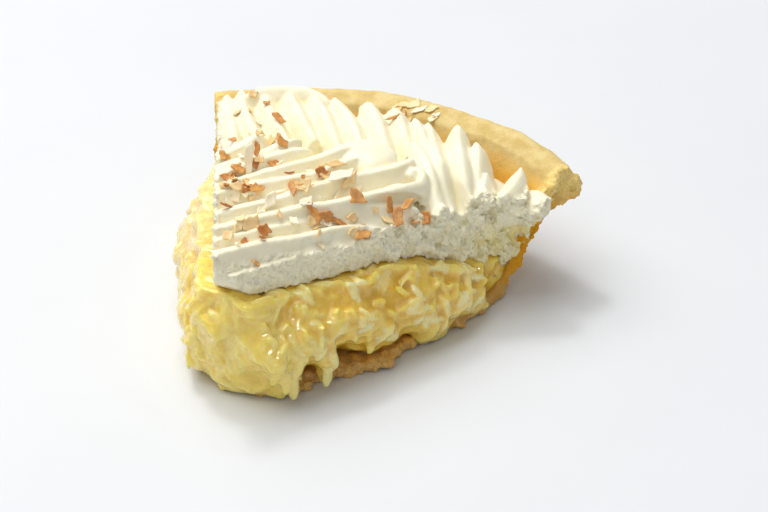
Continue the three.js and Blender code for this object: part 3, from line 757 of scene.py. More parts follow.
# the piped ridges: each one's crest, from the left cut to its far end
RIDGES = [
    [(-2.5, 3.5, 44.8), (4.5, 15.5, 43.8), (12.5, 27.5, 42), (19, 39, 40), (27, 46.5, 36.5)],
    [(-7, 12, 43.2), (1.5, 22.5, 43.4), (10, 33, 43), (18.5, 44.5, 42), (25, 54, 41.6), (32, 56, 39)],
    [(-9, 14, 45.2), (-1, 23.5, 45.5), (7, 33, 45.6), (14.5, 41, 45.2), (21.5, 51, 44.8), (26.5, 61, 44.2)],
    [(-12, 19.5, 46), (-5, 27, 46.4), (2, 36, 46.6), (7.5, 45.5, 46.6), (13, 53.5, 46.3), (18, 60.5, 45.8),
     (21.5, 68, 45), (20, 75.5, 43)],
    [(-17, 28, 46.2), (-9, 37.5, 46.6), (0, 45.5, 46.8), (5.5, 52.5, 46.6), (8, 60, 46.4), (11, 69, 45)],
    [(-17.5, 30.5, 46), (-11, 42, 46.6), (-5.5, 49.5, 46.8), (0, 57, 46.8), (4.5, 66, 46.4), (8, 73, 45)],
    [(-20.5, 34.5, 46), (-17.5, 43.5, 46.3), (-14, 50, 46.5), (-9.5, 57, 46.6), (-5.5, 63, 45.6)],
    [(-22.5, 38.5, 45.6), (-21, 45, 45.8), (-15.5, 51.5, 46.3), (-12.5, 60, 46.6), (-11.5, 67, 45.8)],
    [(-27, 45.5, 45), (-25.5, 50.5, 45.2), (-22.5, 57.5, 45.6), (-23.5, 66, 44.5)],
]
# across (outward is +) and down from the crest: steep on the outer flank, easy on the inner one
RIDGE_SECTION = [
    (6.2, 9), (4.4, 7.2), (3.1, 5.8), (2.2, 4.5), (1.4, 2.9), (0.65, 1.2), (0.2, 0.25), (-0.3, 0),
    (-1.2, 0.15), (-2.6, 0.7), (-4.2, 1.7), (-5.6, 3.2), (-6.8, 5.5), (-7.4, 9),
]
# the curl that ends the third ridge, and its section
CURL = [(22.5, 53, 44.8), (26.6, 60.9, 44.5), (27.5, 63.6, 44.5), (26.8, 66.4, 44.5), (24.7, 67.8, 44.4),
        (23.2, 66.6, 44.2), (23.6, 64.6, 43.6)]
CURL_SECTION = [(1.9, 6), (1.7, 2.2), (1.25, 0.8), (0.65, 0.15), (0, 0), (-0.65, 0.15), (-1.25, 0.8),
                (-1.7, 2.2), (-1.9, 6)]
CURL_STEP = 0.6
# the petals over the rim's inner slope: each one's crest, from its root to its pointed tip;
# the last one is the low mound at the back left
PETALS = [
    [(41, 57, 39), (33.5, 63.5, 42.4), (27, 71, 43), (20.5, 78, 43.4), (15.5, 82.5, 43)],
    [(39, 63.5, 40.5), (30, 72.5, 43), (22.5, 82.5, 43.2), (14.5, 95, 42.6)],
    [(43, 63, 39.5), (35, 76, 42.6), (28.5, 86, 43), (22.5, 98.5, 42.8)],
    [(42, 71, 40), (35.5, 83.5, 41.5), (31, 92.5, 41.6)],
    [(46, 63, 38), (41.5, 72, 41), (39, 82, 41.2)],
    [(47, 65, 36), (46.8, 76, 40), (46.9, 88, 40.6)],
    [(26, 76, 40.5), (16.5, 87.5, 43.6), (10, 95.5, 42.6)],
    [(17, 79, 40.8), (9, 89.5, 43.8), (-1, 103, 43)],
    [(12, 75, 41.2), (2, 88, 44.2), (-8, 100, 43)],
    [(6, 72, 41.4), (-5, 84.5, 44.4), (-16.5, 96, 43)],
    [(-2, 72, 41.4), (-13, 84, 44.6), (-24, 96, 43.4)],
    [(-10.5, 73, 41.6), (-21, 82.5, 44.6), (-32, 94, 43.4)],
    [(-17, 69, 41.6), (-29, 80, 44), (-38, 91.5, 43)],
    [(-23, 65, 41.6), (-34.5, 75.5, 43.6), (-44, 89, 42.4)],
    [(-29, 61, 41.4), (-38, 73, 42.6), (-47.5, 86.5, 41)],
    [(-42, 80, 42), (-37, 87.5, 44.5), (-30, 92, 45.1), (-23, 94, 44.7), (-16, 93, 43)],
]
# a lump of cream torn loose against the rim's inner slope: along and past the right cut, height, radius
TORN_LUMP = (99, 2.6, 30.4, 5)
# where the knife spares the cream: along the right cut, height, how far past it, half length, half height
SPARED = [(99, 30.4, 8.6, 7, 6), (95, 38, 3.6, 7, 4.5)]


def curve_through(places, step):
    """Points at even steps along a smooth curve through some places, with the way ahead at each."""
    knots = [Vector(place) for place in places]
    knots = [2 * knots[0] - knots[1], *knots, 2 * knots[-1] - knots[-2]]
    fine = []
    for a, b, c, d in zip(knots, knots[1:], knots[2:], knots[3:]):
        ta = 0
        tb = ta + math.sqrt((b - a).length)
        tc = tb + math.sqrt((c - b).length)
        td = tc + math.sqrt((d - c).length)
        for t in np.linspace(tb, tc, 60, endpoint=False):
            ab = a.lerp(b, (t - ta) / (tb - ta))
            bc = b.lerp(c, (t - tb) / (tc - tb))
            cd = c.lerp(d, (t - tc) / (td - tc))
            abc = ab.lerp(bc, (t - ta) / (tc - ta))
            bcd = bc.lerp(cd, (t - tb) / (td - tb))
            fine.append(abc.lerp(bcd, (t - tb) / (tc - tb)))
    fine.append(knots[-2])
    lengths = np.concatenate([[0], np.cumsum([(q - p).length for p, q in zip(fine, fine[1:])])])
    count = max(2, round(lengths[-1] / step))
    stations = []
    for length in np.linspace(0, lengths[-1], count + 1):
        index = min(int(np.searchsorted(lengths, length, "right")) - 1, len(fine) - 2)
        share = (length - lengths[index]) / (lengths[index + 1] - lengths[index])
        ahead = (fine[index + 1] - fine[index]).normalized()
        stations.append((fine[index].lerp(fine[index + 1], share), ahead))
    return stations, float(lengths[-1])


def sideways(ahead):
    """The level way out to the right of a stroke."""
    return Vector((ahead.y, -ahead.x, 0)).normalized()


def hung(middle, out, height, section, width=1, depth=1):
    """One ring of a stroke: its section set across the way ahead and hung from its crest."""
    return [(*(middle.xy + out.xy * (across * width)), height - depth * down) for across, down in section]


def ridge(index, crest):
    """One piped ridge, led in from before its first place, rounded off and dropping at its far end."""
    knots = [Vector(place) for place in crest]
    knots[0] += (knots[0] - knots[1]).normalized() * RIDGE_LEAD
    stations, length = curve_through(knots, STROKE_STEP)
    rings = []
    for number, (middle, ahead) in enumerate(stations):
        along = length * number / (len(stations) - 1)
        end = math.sqrt(max(0.01, 1 - smoothstep(along, length - RIDGE_END, length) ** 2))
        wave = 0.3 * uneven(middle.x, middle.y, 7 * index, 15)
        height = middle.z + wave - RIDGE_END_DROP * (1 - end)
        rings.append(hung(middle, sideways(ahead), height, RIDGE_SECTION, width=end))
    return rolled(f"ridge_{index}", rings)


def curl():
    """The small curl that the nozzle left where a ridge ends."""
    stations, _ = curve_through(CURL, CURL_STEP)
    rings = [hung(middle, sideways(ahead), middle.z, CURL_SECTION) for middle, ahead in stations]
    return rolled("curl", rings)


# the broad swirl where two ridges end: its middle and its radii
SWIRL = ((8, 68, 42.8), (9, 8.5, 3.6))


def swirl():
    """The broad, nearly flat swirl that the nozzle left between the ridges and the petals."""
    middle, radii = SWIRL
    return ball("swirl", middle, 1, 4, scale=radii)


# the crease under the curled ridge, and its radius at its two ends
CREASE = [(16.8, 42.2, 44.4), (21, 48.5, 43.2), (23.2, 51.8, 42.4), (25.4, 54.7, 41.4), (27.2, 58.1, 39.8),
          (28.8, 60.8, 37.4)]
CREASE_RADII = (0.5, 2)
CREASE_STEP = 0.8
CREASE_SIDES = 8


def crease():
    """The roll that presses the crease in under the curled ridge."""
    stations, _ = curve_through(CREASE, CREASE_STEP)
    angles = np.linspace(0, TURN, CREASE_SIDES + 1)[:-1]
    rings = []
    for number, (middle, ahead) in enumerate(stations):
        radius = float(lerp(*CREASE_RADII, smoothstep(number / (len(stations) - 1), 0, 0.7)))
        across = ahead.cross(Vector((0, 0, 1))).normalized()
        above = across.cross(ahead)
        rings.append([tuple(middle + radius * (math.cos(angle) * across + math.sin(angle) * above))
                      for angle in angles])
    return rolled("crease", rings)


# across a petal as a share of its half width, and down from the crest as a share of its depth
PETAL_SECTION = [(1, 1), (0.93, 0.84), (0.78, 0.6), (0.55, 0.32), (0.3, 0.11), (0.12, 0.02), (0, 0),
                 (-0.12, 0.02), (-0.3, 0.11), (-0.55, 0.32), (-0.78, 0.6), (-0.93, 0.84), (-1, 1)]


def petal_half_width(t):
    swell = lerp(0.7, 1, smoothstep(t, 0, 0.4))
    point = math.sqrt(max(0.004, 1 - max(0, (t - 0.55) / 0.45) ** 1.5))
    return PETAL_HALF * swell * point


def petal(index, crest):
    """A soft ridge from a root among the ridges to a pointed tip over the rim's inner slope."""
    stations, _ = curve_through(crest, STROKE_STEP)
    rings = []
    for number, (middle, ahead) in enumerate(stations):
        t = number / (len(stations) - 1)
        out = sideways(ahead) * petal_half_width(t)
        depth = lerp(PETAL_DEPTH, PETAL_TIP_DEPTH, smoothstep(t, 0.6, 1))
        rings.append(hung(middle, out, middle.z, PETAL_SECTION, depth=depth))
    return rolled(f"petal_{index}", rings)


# how far the pad stands out past the right cut and the left one, and where it starts along them
PAD_PROUD_RIGHT = 4
PAD_PROUD_LEFT = 3
PAD_START = 2
# the pad's rings: each one's height, and how far it reaches past the inside of the wall
PAD_LEVELS = [(PAD_FLOOR, 2), (20, 1), (30, -4.5), (PAD_TOP, -18)]


def cream_pad():
    """The cream spread under the piping, as far as the wall."""
    rings = []
    for level, past in PAD_LEVELS:
        reach = wall_radius(level) + past
        right = [by_cut(RIGHT, along, PAD_PROUD_RIGHT) for along in np.linspace(PAD_START, reach, 30)]
        left = [by_cut(LEFT, along, PAD_PROUD_LEFT) for along in np.linspace(reach, PAD_START, 30)]
        outline = [*right, *back_arc(reach, 24), *left]
        rings.append([(x, y, pad_top(x, y) if level == PAD_TOP else level) for x, y in outline])
    return rolled("cream_pad", rings)


def torn_lump():
    """The lump of cream torn loose at the right end."""
    along, past, height, radius = TORN_LUMP
    return ball("torn_lump", (*by_cut(RIGHT, along, past), height), radius, 4)


# the knife's wedge: its heights, how far back it reaches, and where its blunt tip stands below and above
WEDGE_HEIGHTS = (PAD_FLOOR - 3, 52)
WEDGE_REACH = 112
WEDGE_TIPS = (7.4, 3.2)
# how far the lower edge of the tip is tucked in
TIP_TUCK = 3.4
# how deep the blade tore the right face: near the tip, and from the middle on
TEARS = (0.5, 2.6)
# the ledge under the outermost ridge, whose flank stands back from the cut: along the right cut, its height
LEDGE = [(0, 42.8), (16.4, 40.3), (28.3, 38.4), (39.1, 36.8), (50, 36.8)]
LEDGE_END = (42, 52)
LEDGE_DEPTH = 2.0
# how far the piping sags towards the torn end of the right cut: along it, and down
SAG = [(56, 0), (64, 1.5), (70, 4.5), (75, 7), (79.5, 9.5), (81.5, 5), (90, 4), (97, 2), (104, 0)]
SAG_REACH = 14


def right_tear(along, z):
    """How far the right face stands out past the cut, or short of it where the blade dragged."""
    torn = lerp(*TEARS, smoothstep(along, 40, 62))
    spared = sum(past * math.exp(-((along - middle) / length) ** 2 - ((z - height) / tall) ** 2)
                 for middle, height, past, length, tall in SPARED)
    ledge = np.interp(along, *zip(*LEDGE))
    recess = LEDGE_DEPTH * smoothstep(z, ledge - 0.5, ledge + 0.5) * (1 - smoothstep(along, *LEDGE_END))
    return spared - recess - torn * (0.5 + 0.5 * uneven(along, z, 0, 8)) + 0.5 * uneven(z, along, 4, 4.4)


def cream_wedge():
    """The knife's wedge: its blunt tip leans back, and its right face is torn."""
    rings = []
    for z in np.linspace(*WEDGE_HEIGHTS, 50):
        tip = lerp(*WEDGE_TIPS, smoothstep(z, 30, 46)) + TIP_TUCK * (1 - smoothstep(z, 31.5, 36.5))
        alongs = np.linspace(tip, WEDGE_REACH, 120)
        right = [by_cut(RIGHT, along, right_tear(along, z)) for along in alongs]
        left = [by_cut(LEFT, along, 0.3 * uneven(along, z, 6, 13)) for along in alongs[::-1]]
        rings.append([(x, y, z) for x, y in [*right, *left]])
    return rolled("cream_wedge", rings)


def sagged(points):
    """The piping sags towards the torn end of the right cut."""
    x, y, z = points.T
    near_cut = 1 - smoothstep(-past_cut(RIGHT, x, y), 0, SAG_REACH)
    drop = np.interp(along_cut(RIGHT, x, y), *zip(*SAG)) * near_cut
    return np.column_stack([x, y, z - drop * smoothstep(z, 24, 34)])


def crisper(piece, rounds, strength, most):
    """Brings out the crests and grooves, by so many times their height and at most so many millimetres."""
    change = np.clip(strength * swell_of(piece, rounds), -most, most)
    set_points(piece, points_of(piece) + normals_of(piece) * change[:, None])


def piping():
    """All the cream as it was spread and piped, before the knife."""
    ridges = [ridge(index, crest) for index, crest in enumerate(RIDGES)]
    petals = [petal(index, crest) for index, crest in enumerate(PETALS)]
    cream = joined("whipped_cream_piped", [cream_pad(), *ridges, curl(), swirl(), *petals, torn_lump()])
    remesh(cream, PIPING_VOXEL)
    smooth(cream, 2)
    crisper(cream, rounds=14, strength=1.2, most=0.75)
    set_points(cream, sagged(points_of(cream)))
    return cream


def cut_shares(cream):
    """How far each point lies on a cut face, and how rough it is there."""
    x, y, z = points_of(cream).T
    normal = normals_of(cream)
    along = along_cut(RIGHT, x, y)
    towards_cut = math.cos(HALF_ANGLE) * np.abs(normal[:, 0]) - math.sin(HALF_ANGLE) * normal[:, 1]
    facing = smoothstep(np.maximum(0, towards_cut), 0.3, 0.8)
    right = smoothstep(past_cut(RIGHT, x, y), -3.4, -1.6) * facing
    left = smoothstep(past_cut(LEFT, x, y), -1.6, -0.6) * facing
    tip = smoothstep(-np.hypot(x, y), -8.5, -7) * smoothstep(-normal[:, 1], 0.3, 0.7)
    cut = np.clip(right + left + 0.6 * tip, 0, 1)
    rough = cut * np.where(x > 0, lerp(0.35, 1, smoothstep(along, 44, 60)), 0.5)
    # the flank above the ledge and the last petal on the right are whole
    ledge = np.interp(along, *zip(*LEDGE))
    flank = smoothstep(z, ledge - 0.4, ledge + 0.4) * (1 - smoothstep(along, *LEDGE_END))
    last_petal = smoothstep(along, 86, 89) * (1 - smoothstep(along, 102, 104)) * smoothstep(z, 34.5, 36.5)
    whole = (1 - flank * (x > 0)) * (1 - last_petal * (x > 0))
    return cut * whole, rough * whole


def smear_share(points):
    """How much custard the knife smeared over the cream: low down on the right cut, towards the rim."""
    x, y, z = points.T
    return smoothstep(along_cut(RIGHT, x, y), 72, 90) * (1 - smoothstep(z, 22, 30)) * (x > 0)


def cream_out_of_sight(cream):
    """Whether each point is on the cream's underside or against the wall."""
    x, y, z = points_of(cream).T
    inside = deep_inside(x, y)
    beneath = inside & (normals_of(cream)[:, 2] < -0.3) & (z < custard_top(x, y) + 2.5)
    behind = inside & (np.hypot(x, y) > wall_radius(z) - 1.5) & (z < 27)
    return beneath | behind


def make_cream():
    cream = piping()
    combine(cream, crease(), "DIFFERENCE")
    combine(cream, cream_wedge(), "INTERSECT")
    combine(cream, custard_form("cream_bed", lift=0.3), "DIFFERENCE")
    remesh(cream, CREAM_VOXEL)
    smooth(cream, 1)
    cut, rough = cut_shares(cream)
    smear = smear_share(points_of(cream))
    group(cream, "cut", cut)
    group(cream, "rough", rough)
    tears = clouds("cream_tears", humps=4.2, detail=3, noise_type="HARD_NOISE")
    relief(cream, tears, height=-3.3, within="rough")
    relief(cream, clouds("cream_clumps", humps=2.4, detail=1), height=1.7, within="rough")
    relief(cream, texture("cream_sponge", "VORONOI", humps=1.3), height=-0.9, within="cut", level=0.35)
    relief(cream, clouds("cream_froth", humps=0.8, detail=2), height=0.9, within="cut")
    relief(cream, clouds("cream_waver", humps=3.5, detail=1), height=0.35)
    paint(cream, "cut", cut)
    paint(cream, "smear", smear)
    thin_out(cream, cream_out_of_sight(cream))
    # the swell that the cream's material turns into painted shade in its grooves
    paint(cream, "swell", swell_of(cream, SWELL_ROUNDS))
    return cream


# ---------- the flakes ----------

# each flake: a place in plan, length, width, turn and tip in degrees
TOASTED_FLAKES = [
    (-30.8, 81.4, 2.1, 1.6, 26, 10), (-23.8, 75.9, 4.2, 2.5, -14, 15), (-12.9, 58.8, 3.4, 2.7, 26, 15),
    (-25.8, 48.1, 2.6, 1.8, -50, 60), (-16.5, 51.1, 3.9, 1.7, -80, 65), (-18, 49.3, 3.1, 1.1, -50, 70),
    (-15.1, 47.2, 2.7, 3.8, 26, 25), (-17.2, 42.3, 6.4, 3.5, 82, 35), (-11.5, 51.5, 3.5, 2.2, 67, 20),
    (-19, 38.1, 2.7, 1.5, 26, 5), (-15.9, 35.3, 3.2, 2, 44, 10), (3.9, 49.8, 2.7, 2.9, -7, 20),
    (1.9, 37.7, 4.3, 1.8, -39, 30), (10.1, 34.5, 6, 2.7, -18, 15), (13, 36.3, 3.6, 3.3, -7, 25),
    (15.4, 38.1, 5.2, 2.4, -4, 10), (17.5, 44.5, 4.3, 3.4, -30, 25), (24, 51, 4.8, 2.2, -30, 40),
    (27.7, 54.4, 4.9, 1.9, 92, 45), (26.9, 50.2, 5.5, 2.9, -60, 60), (21.7, 40.7, 3.8, 4.8, 26, 5),
    (30.4, 54, 3.5, 2.3, 99, 40), (31.6, 57.6, 4.7, 2.6, -52, 40), (2, 22.1, 3.6, 3.1, 60, 25),
    (-1.1, 17.5, 1.7, 1.6, -7, 15), (-14.6, 32.7, 3.5, 2.6, 60, 20), (-10.6, 34.8, 3.2, 2.6, 44, 20),
    (-8.9, 36.4, 3.2, 2.3, 67, 20), (0.7, 45.6, 1.2, 1.4, 26, 10), (-10.1, 23.3, 3.2, 2, 83, 35),
    (5, 91.5, 3.5, 1.9, 26, 20), (-37, 112, 5.2, 2.8, -10, 10),
]
TAN_FLAKES = [
    (-23.3, 70.5, 6, 2.7, 79, 10), (-37.2, 75.8, 2.1, 2.8, 26, 5), (-37.6, 85.1, 2.5, 2.5, 26, 10),
    (-33.7, 76.9, 2.1, 2.5, 26, 10), (5.9, 54.2, 5.1, 2.6, 67, 10), (-0.7, 43.7, 3.3, 2.2, 60, 20),
    (5.1, 40.3, 4.2, 1.8, -75, 55), (17.9, 41.4, 2.5, 2.6, 0, 20), (-1.7, 21.6, 4.2, 3.9, 44, 5),
    (-4.7, 15, 2.6, 3.1, 26, 5), (-3.9, 19.1, 2.3, 2.2, 44, 5), (19.5, 38.3, 2.9, 2.5, 44, 10),
    (24.7, 48.2, 2.8, 2.6, 44, 15), (10.4, 32.8, 2.3, 2.5, 26, 10), (21.6, 47.3, 1.9, 1.7, 26, 10),
    (31.8, 59.2, 2.3, 2.9, 26, 10), (3.3, 27.9, 2.2, 1.3, 105, 30), (-12.4, 33.2, 3.5, 2.9, 60, 20),
    (-9.1, 34.8, 1.9, 1.4, 60, 10), (-16.2, 32.4, 2.3, 2.6, 26, 15), (5.2, 50.6, 3.4, 2.3, 73, 20),
    (12, 50.5, 5.8, 2.3, 73, 10), (2.4, 110.9, 4.2, 2.6, 44, 0), (-0.2, 110.2, 3.6, 2.8, 14, 0),
    (8.4, 110.6, 3.8, 2.6, 70, 0), (2.6, 106.4, 3, 2.6, 26, 0), (-1.5, 108.6, 3.4, 2.2, 96, 0),
]
PALE_FLAKES = [
    (-15.7, 45.5, 8.3, 2.3, -70, 80), (10.2, 49.8, 8.4, 4, 62, 10), (12.5, 49.4, 8, 3.4, 52, 10),
    (-1, 31, 3.8, 3, -64, 55), (7.7, 34.4, 4.3, 3.1, 67, 15), (-12.1, 32, 3.4, 2.3, -70, 60),
    (-10.5, 34.2, 3.8, 2.3, 83, 30), (-1.5, 37.3, 3.2, 1.7, 60, 10), (-13.4, 30.3, 2.3, 2.3, 26, 15),
    (6.8, 29.5, 2.2, 2.5, 26, 10), (-2.5, 28.6, 2.6, 2.3, 60, 10), (-37.9, 90, 2.6, 2.2, 26, 5),
    (5, 109.6, 4, 2.8, 34, 0), (10.6, 107.2, 3.2, 2.4, 56, 0), (12, 34.6, 1.9, 2, 26, 10),
]
# the handfuls of small flakes: middle, half widths, how many
SPRINKLINGS = [
    ((-17, 42), (10, 8), 16), ((-10, 33), (8, 5), 6), ((2, 44), (9, 9), 7), ((16, 33), (8, 4), 6),
    ((34, 42), (8, 6), 8), ((0, 17), (6, 6), 6), ((-22, 70), (11, 9), 8), ((4, 109), (7, 3), 3),
]
# each kind of flake: those laid one by one, and the share of the handfuls that is sprinkled besides
FLAKES = {
    "toasted_flakes": (TOASTED_FLAKES, 0.35),
    "tan_flakes": (TAN_FLAKES, 0.5),
    "pale_flakes": (PALE_FLAKES, 0.4),
}
# x over y, past which a sprinkled flake would fall off the slice
SPRINKLED_WITHIN = 0.53
FLAKE_DROP = 90
# a flake follows the slope under it by this much, unless it is tipped further than this
FLAKE_SETTLING = 0.7
STANDING_TIP = 50
FLAKE_DEPTH = 2.2


def chip():
    """One flake: a thin sheet with a ragged outline and a curl, thickened."""
    draw = random.Random(CHIP_SEED)
    flake = fresh("chip", bpy.ops.mesh.primitive_grid_add, x_subdivisions=6, y_subdivisions=4, size=1)
    for vertex in flake.data.vertices:
        x, y, _ = vertex.co
        ragged = 1 + 0.2 * math.sin(9 * x + 5 * y + draw.uniform(-0.6, 0.6))
        slant = 0.3 * x * y
        vertex.co = (x * (1 + slant), y * ragged, 0.5 * (x * x + 0.6 * y * y) + 0.1 * x * y)
    apply_modifier(flake, "SOLIDIFY", thickness=0.22, offset=0)
    apply_modifier(flake, "SUBSURF", levels=1, render_levels=1)
    return flake


def landing(x, y, surfaces):
    """Where a flake dropped at a place lands and how the surface faces there, or None where it misses."""
    hits = [surface.ray_cast(at(x, y, FLAKE_DROP), Vector((0, 0, -1)))[:2] for surface in surfaces]
    return max((hit for hit in hits if hit[0] is not None), key=lambda hit: hit[0].z, default=None)


def laid_flake(master, flake, ground, normal, draw):
    """A copy of the flake laid where it fell, with a taper and a skew of its own."""
    _, y, length, width, turn, tip = flake
    upright = Vector((0, 0, 1))
    settled = upright.lerp(normal, FLAKE_SETTLING if tip < STANDING_TIP else 0)
    lying = upright.rotation_difference(settled).to_matrix().to_4x4()
    tip = 0.9 * math.radians(tip)
    lift = (0.3 if y < 100 else 0) * MM + 0.4 * length * MM * abs(math.sin(tip))
    turned = Matrix.Rotation(math.radians(turn), 4, "Z") @ Matrix.Rotation(tip, 4, "Y")
    rolled_over = Matrix.Rotation(math.radians(draw.uniform(-18, 18)), 4, "X")
    size = Matrix.Diagonal((length * MM, 0.95 * width * MM, FLAKE_DEPTH * MM, 1))
    taper, skew = draw.uniform(-0.9, 0.9), draw.uniform(-0.5, 0.5)
    copy = copied(master)
    for vertex in copy.data.vertices:
        vertex.co.y *= 1 - taper * vertex.co.x
        vertex.co.x += skew * vertex.co.y
    resting = Matrix.Translation(ground + Vector((0, 0, lift))) @ lying
    copy.data.transform(resting @ turned @ rolled_over @ size)
    return copy


def scattered(name, flakes, master, surfaces, draw):
    """Copies of one flake laid where they fell, each on the surface below it and toasted by its own share."""
    copies = []
    toasts = []
    for x, y, length, *rest in flakes:
        # one that would hang over the left cut lies further in
        x += max(0, past_cut(LEFT, x, y) + 0.3 * length + 0.5)
        landed = landing(x, y, surfaces)
        if landed is None:
            continue
        copies.append(laid_flake(master, (x, y, length, *rest), *landed, draw))
        toasts += [draw.random()] * len(copies[-1].data.vertices)
    piece = joined(name, copies)
    paint(piece, "flake", toasts)
    return piece


def sprinkled(share, draw):
    """Small flakes strewn round the handfuls."""
    flakes = []
    for (x, y), (wide, deep), count in SPRINKLINGS:
        for _ in range(round(count * share)):
            place = (x + wide * draw.uniform(-1, 1), y + deep * draw.uniform(-1, 1))
            size = (draw.uniform(1.6, 3.2), draw.uniform(0.9, 1.8))
            flakes.append((*place, *size, draw.uniform(0, 360), draw.uniform(-30, 30)))
    return [flake for flake in flakes if abs(flake[0]) < SPRINKLED_WITHIN * flake[1]]


def make_flakes(cream, crust):
    graph = bpy.context.evaluated_depsgraph_get()
    surfaces = [BVHTree.FromObject(piece, graph) for piece in (cream, crust)]
    master = chip()
    draw = random.Random(FLAKE_SEED)
    made = [scattered(name, flakes + sprinkled(share, draw), master, surfaces, draw)
            for name, (flakes, share) in FLAKES.items()]
    bpy.data.objects.remove(master)
    return made


# ---------- materials ----------

class Mixture:
    """A material's node tree, with short calls to add and join nodes."""

    def __init__(self, tree):
        self.tree = tree

    def node(self, kind, settings=None, **inputs):
        made = self.tree.nodes.new(kind)
        for setting, value in (settings or {}).items():
            setattr(made, setting, value)
        for name, value in inputs.items():
            self.feed(made.inputs[name.replace("_", " ")], value)
        return made

    def feed(self, socket, value):
        if isinstance(value, bpy.types.NodeSocket):
            self.tree.links.new(value, socket)
        else:
            socket.default_value = value

    def place(self):
        """Where each spot lies on the slice, in metres."""
        return self.node("ShaderNodeTexCoord").outputs["Object"]

    def coordinate(self, axis):
        return self.node("ShaderNodeSeparateXYZ", Vector=self.place()).outputs[axis]

    def noise(self, size, detail, roughness=0.55):
        made = self.node("ShaderNodeTexNoise", Vector=self.place(), Scale=1 / (size * MM), Detail=detail,
                         Roughness=roughness)
        return made.outputs["Fac"]

    def spread(self, value, low, high, start=0.0, end=1.0):
        """A value stretched from one range to another, and held inside it."""
        made = self.node("ShaderNodeMapRange", Value=value)
        for name, number in (("From Min", low), ("From Max", high), ("To Min", start), ("To Max", end)):
            made.inputs[name].default_value = number
        return made.outputs["Result"]

    def mix(self, share, first, second):
        made = self.node("ShaderNodeMix", {"data_type": "RGBA"})
        self.feed(made.inputs[0], share)
        self.feed(made.inputs[6], first)
        self.feed(made.inputs[7], second)
        return made.outputs[2]

    def mottled(self, pattern, first, second, low=0.35, high=0.65):
        """One colour that gives way to another over the middle of a pattern's range."""
        return self.mix(self.spread(pattern, low, high), first, second)

    def maths(self, operation, first, second):
        made = self.node("ShaderNodeMath", {"operation": operation})
        self.feed(made.inputs[0], first)
        self.feed(made.inputs[1], second)
        return made.outputs[0]

    def attribute(self, name):
        return self.node("ShaderNodeAttribute", {"attribute_name": name}).outputs["Fac"]


def colour(red, green, blue):
    """A colour as it looks on screen, 0 to 255, as the light values that the shader takes."""
    levels = [value / 255 for value in (red, green, blue)]
    return (*[v / 12.92 if v <= 0.04045 else ((v + 0.055) / 1.055) ** 2.4 for v in levels], 1)


def grain_group():
    """Grain shared by the materials: mottling for the colour and fine relief, at a size of its own."""
    tree = bpy.data.node_groups.new("food_grain", "ShaderNodeTree")
    face = tree.interface
    for name, default in (("Mottle size", 5.0), ("Grain size", 0.6)):
        face.new_socket(name, in_out="INPUT", socket_type="NodeSocketFloat").default_value = default
    for name in ("Mottle", "Grain"):
        face.new_socket(name, in_out="OUTPUT", socket_type="NodeSocketFloat")
    mixture = Mixture(tree)
    given = mixture.node("NodeGroupInput")
    metres = mixture.place()
    millimetres = mixture.node("ShaderNodeVectorMath", {"operation": "SCALE"}, Vector=metres, Scale=1 / MM)
    result = mixture.node("NodeGroupOutput")
    for name, size, detail in (("Mottle", "Mottle size", 3.0), ("Grain", "Grain size", 4.0)):
        scale = mixture.maths("DIVIDE", 1.0, given.outputs[size])
        noise = mixture.node("ShaderNodeTexNoise", Vector=millimetres.outputs[0], Scale=scale, Detail=detail,
                             Roughness=0.6)
        mixture.feed(result.inputs[name], noise.outputs["Fac"])
    return tree


def grain(mixture, tree, mottle_size, grain_size):
    """The shared grain in one material, with its two sizes in millimetres."""
    made = mixture.node("ShaderNodeGroup", {"node_tree": tree})
    made.inputs["Mottle size"].default_value = mottle_size
    made.inputs["Grain size"].default_value = grain_size
    return made.outputs["Mottle"], made.outputs["Grain"]


def new_material(name):
    """A material with its mixture and its surface shader."""
    material = bpy.data.materials.new(name)
    material.use_nodes = True
    mixture = Mixture(material.node_tree)
    return material, mixture, material.node_tree.nodes["Principled BSDF"]


def bump(mixture, height, strength, depth):
    """The surface's direction over a relief of a depth in millimetres."""
    made = mixture.node("ShaderNodeBump", Strength=strength, Distance=depth * MM, Height=height)
    return made.outputs["Normal"]


def soft_inside(mixture, shader, weight, radius, scale):
    """Light that sinks in and comes out again nearby; scale in millimetres."""
    mixture.feed(shader.inputs["Subsurface Weight"], weight)
    shader.inputs["Subsurface Radius"].default_value = radius
    shader.inputs["Subsurface Scale"].default_value = scale * MM


